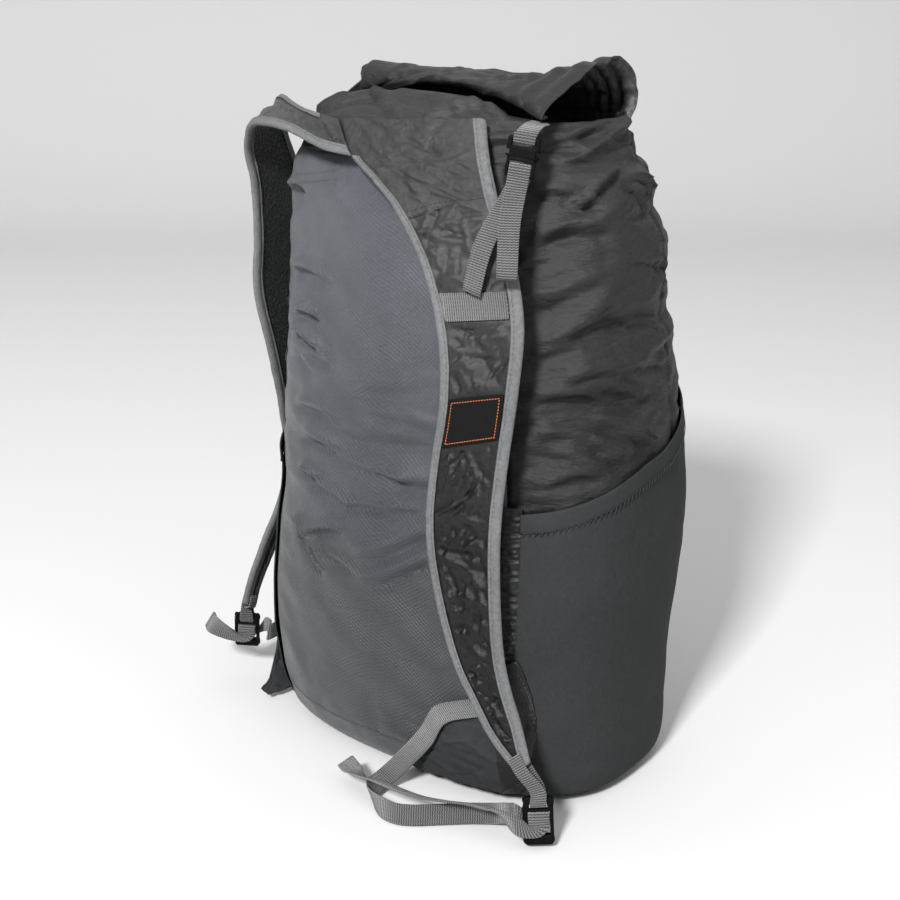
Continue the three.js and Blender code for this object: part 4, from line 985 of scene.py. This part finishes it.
def slotted_plate(bm, xs, ys, holes, thick, corner, edge, lift=0.0):
    """A flat frame with rectangular holes: a grid with cells taken out, made solid and rounded."""
    made = bmesh.ops.create_grid(bm, x_segments=len(xs) - 1, y_segments=len(ys) - 1, size=0.5)["verts"]
    cells = set()
    for vert in made:
        c, r = round((vert.co.x + 0.5) * (len(xs) - 1)), round((vert.co.y + 0.5) * (len(ys) - 1))
        vert.co = (xs[c] * MM, ys[r] * MM, (lift - thick / 2) * MM)
        cells.update(vert.link_faces)
    taken = []
    for face in cells:
        middle = face.calc_center_median() / MM
        if any(x0 < middle.x < x1 and y0 < middle.y < y1 for x0, x1, y0, y1 in holes):
            taken.append(face)
    bmesh.ops.delete(bm, geom=taken, context="FACES")
    kept = [face for face in cells if face.is_valid]
    grown = bmesh.ops.extrude_face_region(bm, geom=kept)["geom"]
    top = [item for item in grown if isinstance(item, bmesh.types.BMVert)]
    bmesh.ops.translate(bm, verts=top, vec=(0, 0, thick * MM))
    for face in kept:
        if face.is_valid:
            face.normal_flip()
    ends = {(xs[0], ys[0]), (xs[0], ys[-1]), (xs[-1], ys[0]), (xs[-1], ys[-1])}
    near = set(top) | {v for f in kept if f.is_valid for v in f.verts}
    posts = {side for vert in near for side in vert.link_edges
             if abs(side.verts[0].co.z - side.verts[1].co.z) > thick * 0.9 * MM
             and any(abs(vert.co.x / MM - x) < 0.01 and abs(vert.co.y / MM - y) < 0.01 for x, y in ends)}
    bmesh.ops.bevel(bm, geom=list(posts), offset=corner * MM, affect="EDGES", segments=4, profile=0.5,
                    material=-1)
    sharp = [side for side in bm.edges if len(side.link_faces) == 2 and side.calc_face_angle() > 1.2
             and abs(side.calc_length()) > 0.3 * MM]
    bmesh.ops.bevel(bm, geom=sharp, offset=edge * MM, affect="EDGES", segments=2, profile=0.5, material=-1)


def moulding(name, bm, holder, node):
    """Puts a plastic piece on its buckle's frame."""
    bmesh.ops.recalc_face_normals(bm, faces=bm.faces)
    bmesh.ops.transform(bm, matrix=holder.matrix(), verts=bm.verts)
    smooth_all(bm)
    piece = placed(name, bm, moulded)
    piece.data.set_sharp_from_angle(angle=0.7)
    fixed(piece, "plastic", node)


def webbing_band(name, rows, steps, wide, thick, node, hem=0.0):
    """Woven webbing along rows of (place, width direction) in mm; `hem` folds its free end back."""
    edges, before = [], np.zeros(3)
    for place, way in rows:
        way = unit(np.array(way, float)) * wide / 2
        way = -way if way @ before < 0 else way
        before = way
        edges.append((*(np.array(place) - way), *(np.array(place) + way), 0.0))
    f = strap_frames(np.array(edges), np.linspace(0, 1, steps))
    run = arc_lengths((f["a"] + f["b"])[:, None] / 2, 0)
    body = 1 + 0.9 / (1 + np.exp(-(run - run[-1] + hem * MM) / (0.6 * MM))) if hem else np.ones_like(run)
    face = [(0, 0), (0.02, 0.6), (0.06, 1), (0.3, 1), (0.5, 1), (0.7, 1), (0.94, 1), (0.98, 0.6), (1, 0)]
    ring = np.array(face + [(share, -rise) for share, rise in face[-2::-1]])
    points = on_strap(f, ring[:, 0][None, :], ring[:, 1][None, :] * thick / 2 * body)
    uv = np.stack(np.broadcast_arrays(ring[:, 0][None, :] * wide * MM, run), -1)
    piece = cloth_sheet(name, points, [webbing_cloth], uv=uv, ring=True, caps=True)
    fixed(piece, "webbing", node)


locks = {side: BuckleFrame(*place) for side, place in LOCKS.items()}
for side, frames, facing in (("left", strap_frames(LEFT_ROWS, np.linspace(0, 1, 27)), -1),
                             ("right", strap_frames(RIGHT_ROWS, np.linspace(0, 1, 31)), 1)):
    lock = locks[side]
    bm = bmesh.new()
    slotted_plate(bm, (-10.5, -8, -6.3, 6.3, 8, 10.5), (0, 5, 8.7, 10.4, 14, 19, 27, 34),
                  [(-6.3, 6.3, 5, 8.7), (-8, 8, 10.4, 14), (-8, 8, 19, 27)], 3.6, 3.0, 0.7)
    moulding(side + "_lock_frame", bm, lock, side + "_ladder_lock")
    middle = (frames["a"][-1] + frames["b"][-1]) / 2 / MM
    along, across = frames["along"][-1], frames["across"][-1]
    out = frames["normal"][-1] * facing
    blend = unit(across + lock.wide * np.sign(across @ lock.wide))
    webbing_band(side + "_lock_loop_webbing", [
        (middle - along * 10 + out * 3.6, across), (middle + along + out * 3.6, across),
        (lock.spot(0, -4, LOCK_OVER + 1), blend), (lock.spot(0, 2.5, LOCK_OVER + 0.4), lock.wide),
        (lock.spot(0, 6.6, LOCK_OVER * 0.6), lock.wide), (lock.spot(0, 7.2, 0), lock.wide),
        (lock.spot(0, 6.6, -LOCK_OVER * 0.6), lock.wide), (lock.spot(0, 2.5, -LOCK_OVER - 0.4), lock.wide),
        (lock.spot(0, -4, -LOCK_OVER - 1), blend), (middle + along - out * 3.6, across),
        (middle - along * 10 - out * 3.6, across)], 60, 11.5, 1.2, side + "_lock_loop")

# Lower webbing: 15 mm webbing from the wing at the foot of the side seam, slack over the floor, round
# the lock's bar and out again as the free tail with a sewn hem.
LOWER_WIDTH, LOWER_THICK = 15, 1.4


def through_lock(lock, way):
    return [(lock.spot(way * 15, 14, -LOCK_OVER - 1.5), lock.long),
            (lock.spot(way * 5, 22, -LOCK_OVER - 0.8), lock.long + lock.wide),
            (lock.spot(0, 18, -LOCK_OVER), lock.wide), (lock.spot(0, 14.6, -LOCK_OVER), lock.wide),
            (lock.spot(0, 12.2, -LOCK_OVER * 0.6), lock.wide), (lock.spot(0, 11.4, 0), lock.wide),
            (lock.spot(0, 12.2, LOCK_OVER * 0.6), lock.wide), (lock.spot(0, 14.6, LOCK_OVER), lock.wide),
            (lock.spot(0, 20, LOCK_OVER), lock.wide),
            (lock.spot(4, 22, LOCK_OVER + 1), lock.wide - lock.long),
            (lock.spot(15, 19, LOCK_OVER + 1.5), -lock.long)]


from_wing, on_floor, tail = (0.68, 0.03, -0.73), (0.28, -0.41, -0.86), (-0.05, -0.9, 0.43)
webbing_band("left_lower_strap", [
    (wall(-59, 85, 7.4) / MM, from_wing), (wall(-66, 80, 7.4) / MM, from_wing),
    (wall(-74, 70, 8.2) / MM, from_wing), ((44, -114, 49), (0.72, 0.1, -0.66)),
    ((26, -119, 25), (0.8, 0.27, -0.54)), ((15, -126, 11), (0.78, 0.23, -0.58)),
    ((14, -138, 8.4), (0.7, 0.2, -0.65)), ((22, -150, 7.8), (0.55, -0.1, -0.8)),
    ((37, -156, 7.7), (0.25, -0.4, -0.88)), ((50, -156, 7.7), on_floor), ((60, -151, 7.7), on_floor),
    ((75, -138, 7.7), on_floor), ((92, -123, 7.8), on_floor), ((108, -114, 9.5), (0.3, -0.35, -0.88)),
    ((121, -115, 15), (0.25, -0.25, -0.93)), *through_lock(locks["left"], 1),
    ((124, -129, 21), (-0.12, -0.5, 0.86)), ((113, -127, 21), tail), ((97, -130, 20.5), tail),
    ((81, -138, 20.5), tail), ((62, -144, 20), tail), ((40, -146, 20), tail), ((23, -146, 20), tail),
    ((7, -145, 17), (-0.05, -0.85, 0.5)), ((-8, -138, 15), (-0.4, -0.67, -0.05)),
    ((-19, -133, 15), (-0.63, -0.49, -0.6))], 300, LOWER_WIDTH, LOWER_THICK, "left_lower_webbing", hem=14)
webbing_band("right_lower_strap", [
    (wall(-160, 54, 7) / MM, (0, 0, 1)), (wall(-154, 54, 12) / MM, (0.1, 0.1, 0.95)),
    ((-182, -50, 50), (0.2, 0.1, 0.95)), *through_lock(locks["right"], -1),
    ((-230, -71, 46), (0.15, 0.6, 0.75)), ((-243, -63, 45), (0.15, 0.6, 0.75))],
    160, LOWER_WIDTH, LOWER_THICK, "right_lower_webbing", hem=12)

# Anchor wings: small rounded cloth tabs at the foot of the side seams, doubled and stitched, that
# hold the lower webbing's sewn end.
WINGS = {
    # turn, low and high edge, distance off the wall
    "left": np.array([(-87, 9, 14, 3.4), (-75, 10, 60, 4.6), (-65, 11, 86, 5.0), (-58, 12, 108, 5.0),
                      (-51, 16, 122, 5.0), (-46, 42, 98, 4.6), (-44, 56, 78, 4.0)], float),
    "right": np.array([(-164, 30, 72, 4.2), (-158, 10, 66, 4.6), (-153, 7, 40, 7.0), (-149, 5, 18, 17.0),
                       (-146, 5, 10, 27.0)], float)}
gather_cloth = cloth_finish("gather_cloth", (0.004, 0.004, 0.0045), (0.016, 0.016, 0.017), 0.36, 0.9, 0.4)
WING_FOLD = -58
wing_stitches = bmesh.new()
for side, rows in WINGS.items():
    reach = np.linspace(rows[0, 0], rows[-1, 0], 81)
    low, high, out = (through(rows[:, 0], rows[:, k], reach) for k in (1, 2, 3))
    up = np.linspace(0, 1, 61)[:, None]
    points = wall(reach[None, :], low + (high - low) * up, out[None, :] + 0.8)
    ruffle = creases(points, 71, 6, 24, 3, 1.6, spread=1.0)
    points = points + grid_normals(points) * ruffle[..., None] * MM
    wing = cloth_sheet(side + "_wing_cloth", points, [base_cloth, gather_cloth],
                       paint=lambda r, c: int(side == "left" and reach[c] > WING_FOLD))
    thicken(wing, 1.6, levels=0)
    fixed(wing, "nylon", side + "_anchor_wing")
    normal = grid_normals(points)
    stitch_row(wing_stitches, points[-6] + normal[-6] * 0.2 * MM, normal[-6], 2.4, 1.2, 0.7)
thread_piece("wing_stitches", wing_stitches, grey_thread, "nylon")

# Stretch pockets: matt slate cloth pulled over both sides from the base up to a wide hem, whose
# lower edge is overlocked with slanted dark stitches. A gathered black strip joins the near one to
# the panel's seam.
pocket_cloth = cloth_finish("pocket_cloth", (0.016, 0.0178, 0.0182), (0.035, 0.0372, 0.0378), 0.8, 1.3, 0.15,
                            shine=0.15)
dark_thread = thread("dark_thread", 0.7, (0.0045, 0.0045, 0.0049), (0.0135, 0.0135, 0.0144))
POCKET_FOOT, HEM_WIDTH, POCKET_LIFT = 9, 15, 2.2
HEM_SECTION = np.array([
    # share of the hem's width, distance off the wall
    (0, 2.4), (0.04, 3.2), (0.3, 3.4), (0.6, 3.5), (0.9, 3.6), (0.97, 3.3), (1.0, 2.4)])


def outward(points):
    return unit(points * (1, 1, 0))


def lifted(points, height):
    """Points moved level out of the bag by a height in mm."""
    return points + outward(points) * height[..., None] * MM


overlock = bmesh.new()
for side, (start, sweep) in POCKETS.items():
    u = np.linspace(0, 1, 61)
    pocket_turns = (start + sweep * u)[None, :]
    hem_top = hem_line(u)[None, :]
    up = np.linspace(0, 1, 45)[:, None]
    pocket_z = POCKET_FOOT + (hem_top - (HEM_WIDTH - 1) - POCKET_FOOT) * up
    points = wall(pocket_turns, pocket_z, POCKET_LIFT)
    points = lifted(points, creases(points, 41, 50, 120, 22, 1.6, lean=0.3, soft=True)
                    + creases(points, 45, 22, 40, 7, 0.4, soft=True))
    facing_out = slice(None, None, 1 if sweep > 0 else -1)
    pocket = cloth_sheet(side + "_pocket_cloth", points[:, facing_out], [pocket_cloth])
    thicken(pocket, WALL)
    fixed(pocket, "stretch", side + "_pocket")
    hem_z = hem_top - HEM_WIDTH + HEM_WIDTH * HEM_SECTION[:, :1]
    points = wall(pocket_turns, hem_z, HEM_SECTION[:, 1:])
    points = lifted(points, creases(points, 51, 8, 18, 5, 0.6, lean=1.4, soft=True))
    hem = cloth_sheet(side + "_hem_cloth", points[:, facing_out], [pocket_cloth])
    thicken(hem, 1.6)
    fixed(hem, "stretch", side + "_pocket_hem")
    line, normal = points[1], outward(points[1])
    stitch_row(overlock, line + normal * 0.3 * MM, normal, 6.5, -2.2, 1.0, slant=0.95)
thread_piece("pocket_overlock", overlock, dark_thread, "stretch")
GATHER_Z = np.linspace(118, 234, 120)
gathers = 0.4 * (np.sin(GATHER_Z * 0.95) + np.sin(GATHER_Z * 1.47 + 2.4 * np.sin(GATHER_Z / 11)))[:, None]
strip_turns = np.linspace(-57.5, -51.0, 13)
dome = np.sin(np.linspace(0, math.pi, 13))[None, :]
points = wall(strip_turns[None, :], GATHER_Z[:, None], 1.6 + dome * (1.2 + gathers))
points = lifted(points, creases(points, 61, 3.5, 14, 2.2, 1.0, spread=0.5))
strip = cloth_sheet("left_pocket_gather", points, [gather_cloth])
thicken(strip, 1.0, levels=0)
fixed(strip, "stretch")

# Side release clips: black moulded sockets and plugs that hold the rolled mouth down, fastened. Each
# half has a bar that its webbing goes round.
CLIPS = {"left": ((106, -87, 482), (-0.1, -0.12, -0.98), (-0.86, -0.5, 0.12)),
         "right": ((-146, 14, 490), (-0.36, -0.06, -0.93), (-0.1, 0.99, -0.06))}
clips = {side: BuckleFrame(*place) for side, place in CLIPS.items()}
for side, clip in clips.items():
    bm = bmesh.new()
    slotted_plate(bm, (-10.5, -8.5, -7.6, 7.6, 8.5, 10.5), (0, 1.8, 5.8, 8.2, 11.4, 13),
                  [(-7.6, 7.6, 1.8, 5.8), (-10.5, -8.5, 8.2, 11.4), (8.5, 10.5, 8.2, 11.4)], 6.0, 2.2, 0.6)
    moulding(side + "_clip_socket_body", bm, clip, side + "_clip_socket")
    bm = bmesh.new()
    slotted_plate(bm, (-9.5, -7.6, 7.6, 9.5), (13.4, 15.2, 18.6, 20.4, 23.4, 25.2),
                  [(-7.6, 7.6, 15.2, 18.6), (-7.6, 7.6, 20.4, 23.4)], 3.6, 1.8, 0.5)
    moulding(side + "_clip_plug_body", bm, clip, side + "_clip_plug")

# Closure webbing: 14 mm webbing from the roll's end round the socket's bar, and from the chest band up
# round the plug's bar, ending in a free tail with a sewn hem.
CLIP_OVER, PLUG_OVER = 4.1, 3.4
CLOSURE_WIDTH, CLOSURE_THICK = 14, 1.2
TAB_STARTS = {"left": [((103, -66, 489.7), (0.97, 0.1, -0.15)), ((104, -76, 488.2), (0.95, 0.2, -0.12))],
              "right": [((-91, 30, 515.2), (0.05, -0.82, 0.57)), ((-108, 28, 514), (0.05, -0.84, 0.5))]}
BELOW = {"left": [((84, -114, 384), (0.95, 0.08, -0.28)), ((91, -109.5, 416), (0.95, 0.15, -0.2))],
         "right": [((-176.4, -30, 394), (0.16, -0.65, 0.75)), ((-185, -10, 411), (0.1, -0.7, 0.7)),
                   ((-184, 11, 431), (0.1, -0.9, 0.4))]}
FREE = {"left": [((107, -104, 430), (0.9, 0.4, 0)), ((113, -115, 396), (0.93, 0.3, 0))],
        "right": [((-184, 19, 436), (0.05, -0.99, 0)), ((-190, 25, 400), (0.05, -0.99, 0))]}
for side, clip in clips.items():
    tab = [(0, -2, -CLIP_OVER), (0, 1.2, -CLIP_OVER), (0, 3.4, -CLIP_OVER * 0.62), (0, 3.9, 0),
           (0, 3.4, CLIP_OVER * 0.62), (0, 1.2, CLIP_OVER), (0, -3, CLIP_OVER - 0.4)]
    loop = [(0, 28, -PLUG_OVER - 0.6), (0, 23, -PLUG_OVER), (0, 19.6, -PLUG_OVER),
            (0, 17.4, -PLUG_OVER * 0.6), (0, 16.9, 0), (0, 17.4, PLUG_OVER * 0.6), (0, 19.6, PLUG_OVER),
            (0, 25.5, PLUG_OVER + 0.3)]
    round_socket, round_plug = ([(clip.spot(*at), clip.wide) for at in path] for path in (tab, loop))
    webbing_band(side + "_clip_tab_webbing", TAB_STARTS[side] + round_socket,
                 70, CLOSURE_WIDTH, CLOSURE_THICK, side + "_clip_tab")
    webbing_band(side + "_closure_strap", BELOW[side] + round_plug + FREE[side],
                 110, CLOSURE_WIDTH, CLOSURE_THICK, side + "_closure_webbing", hem=12)
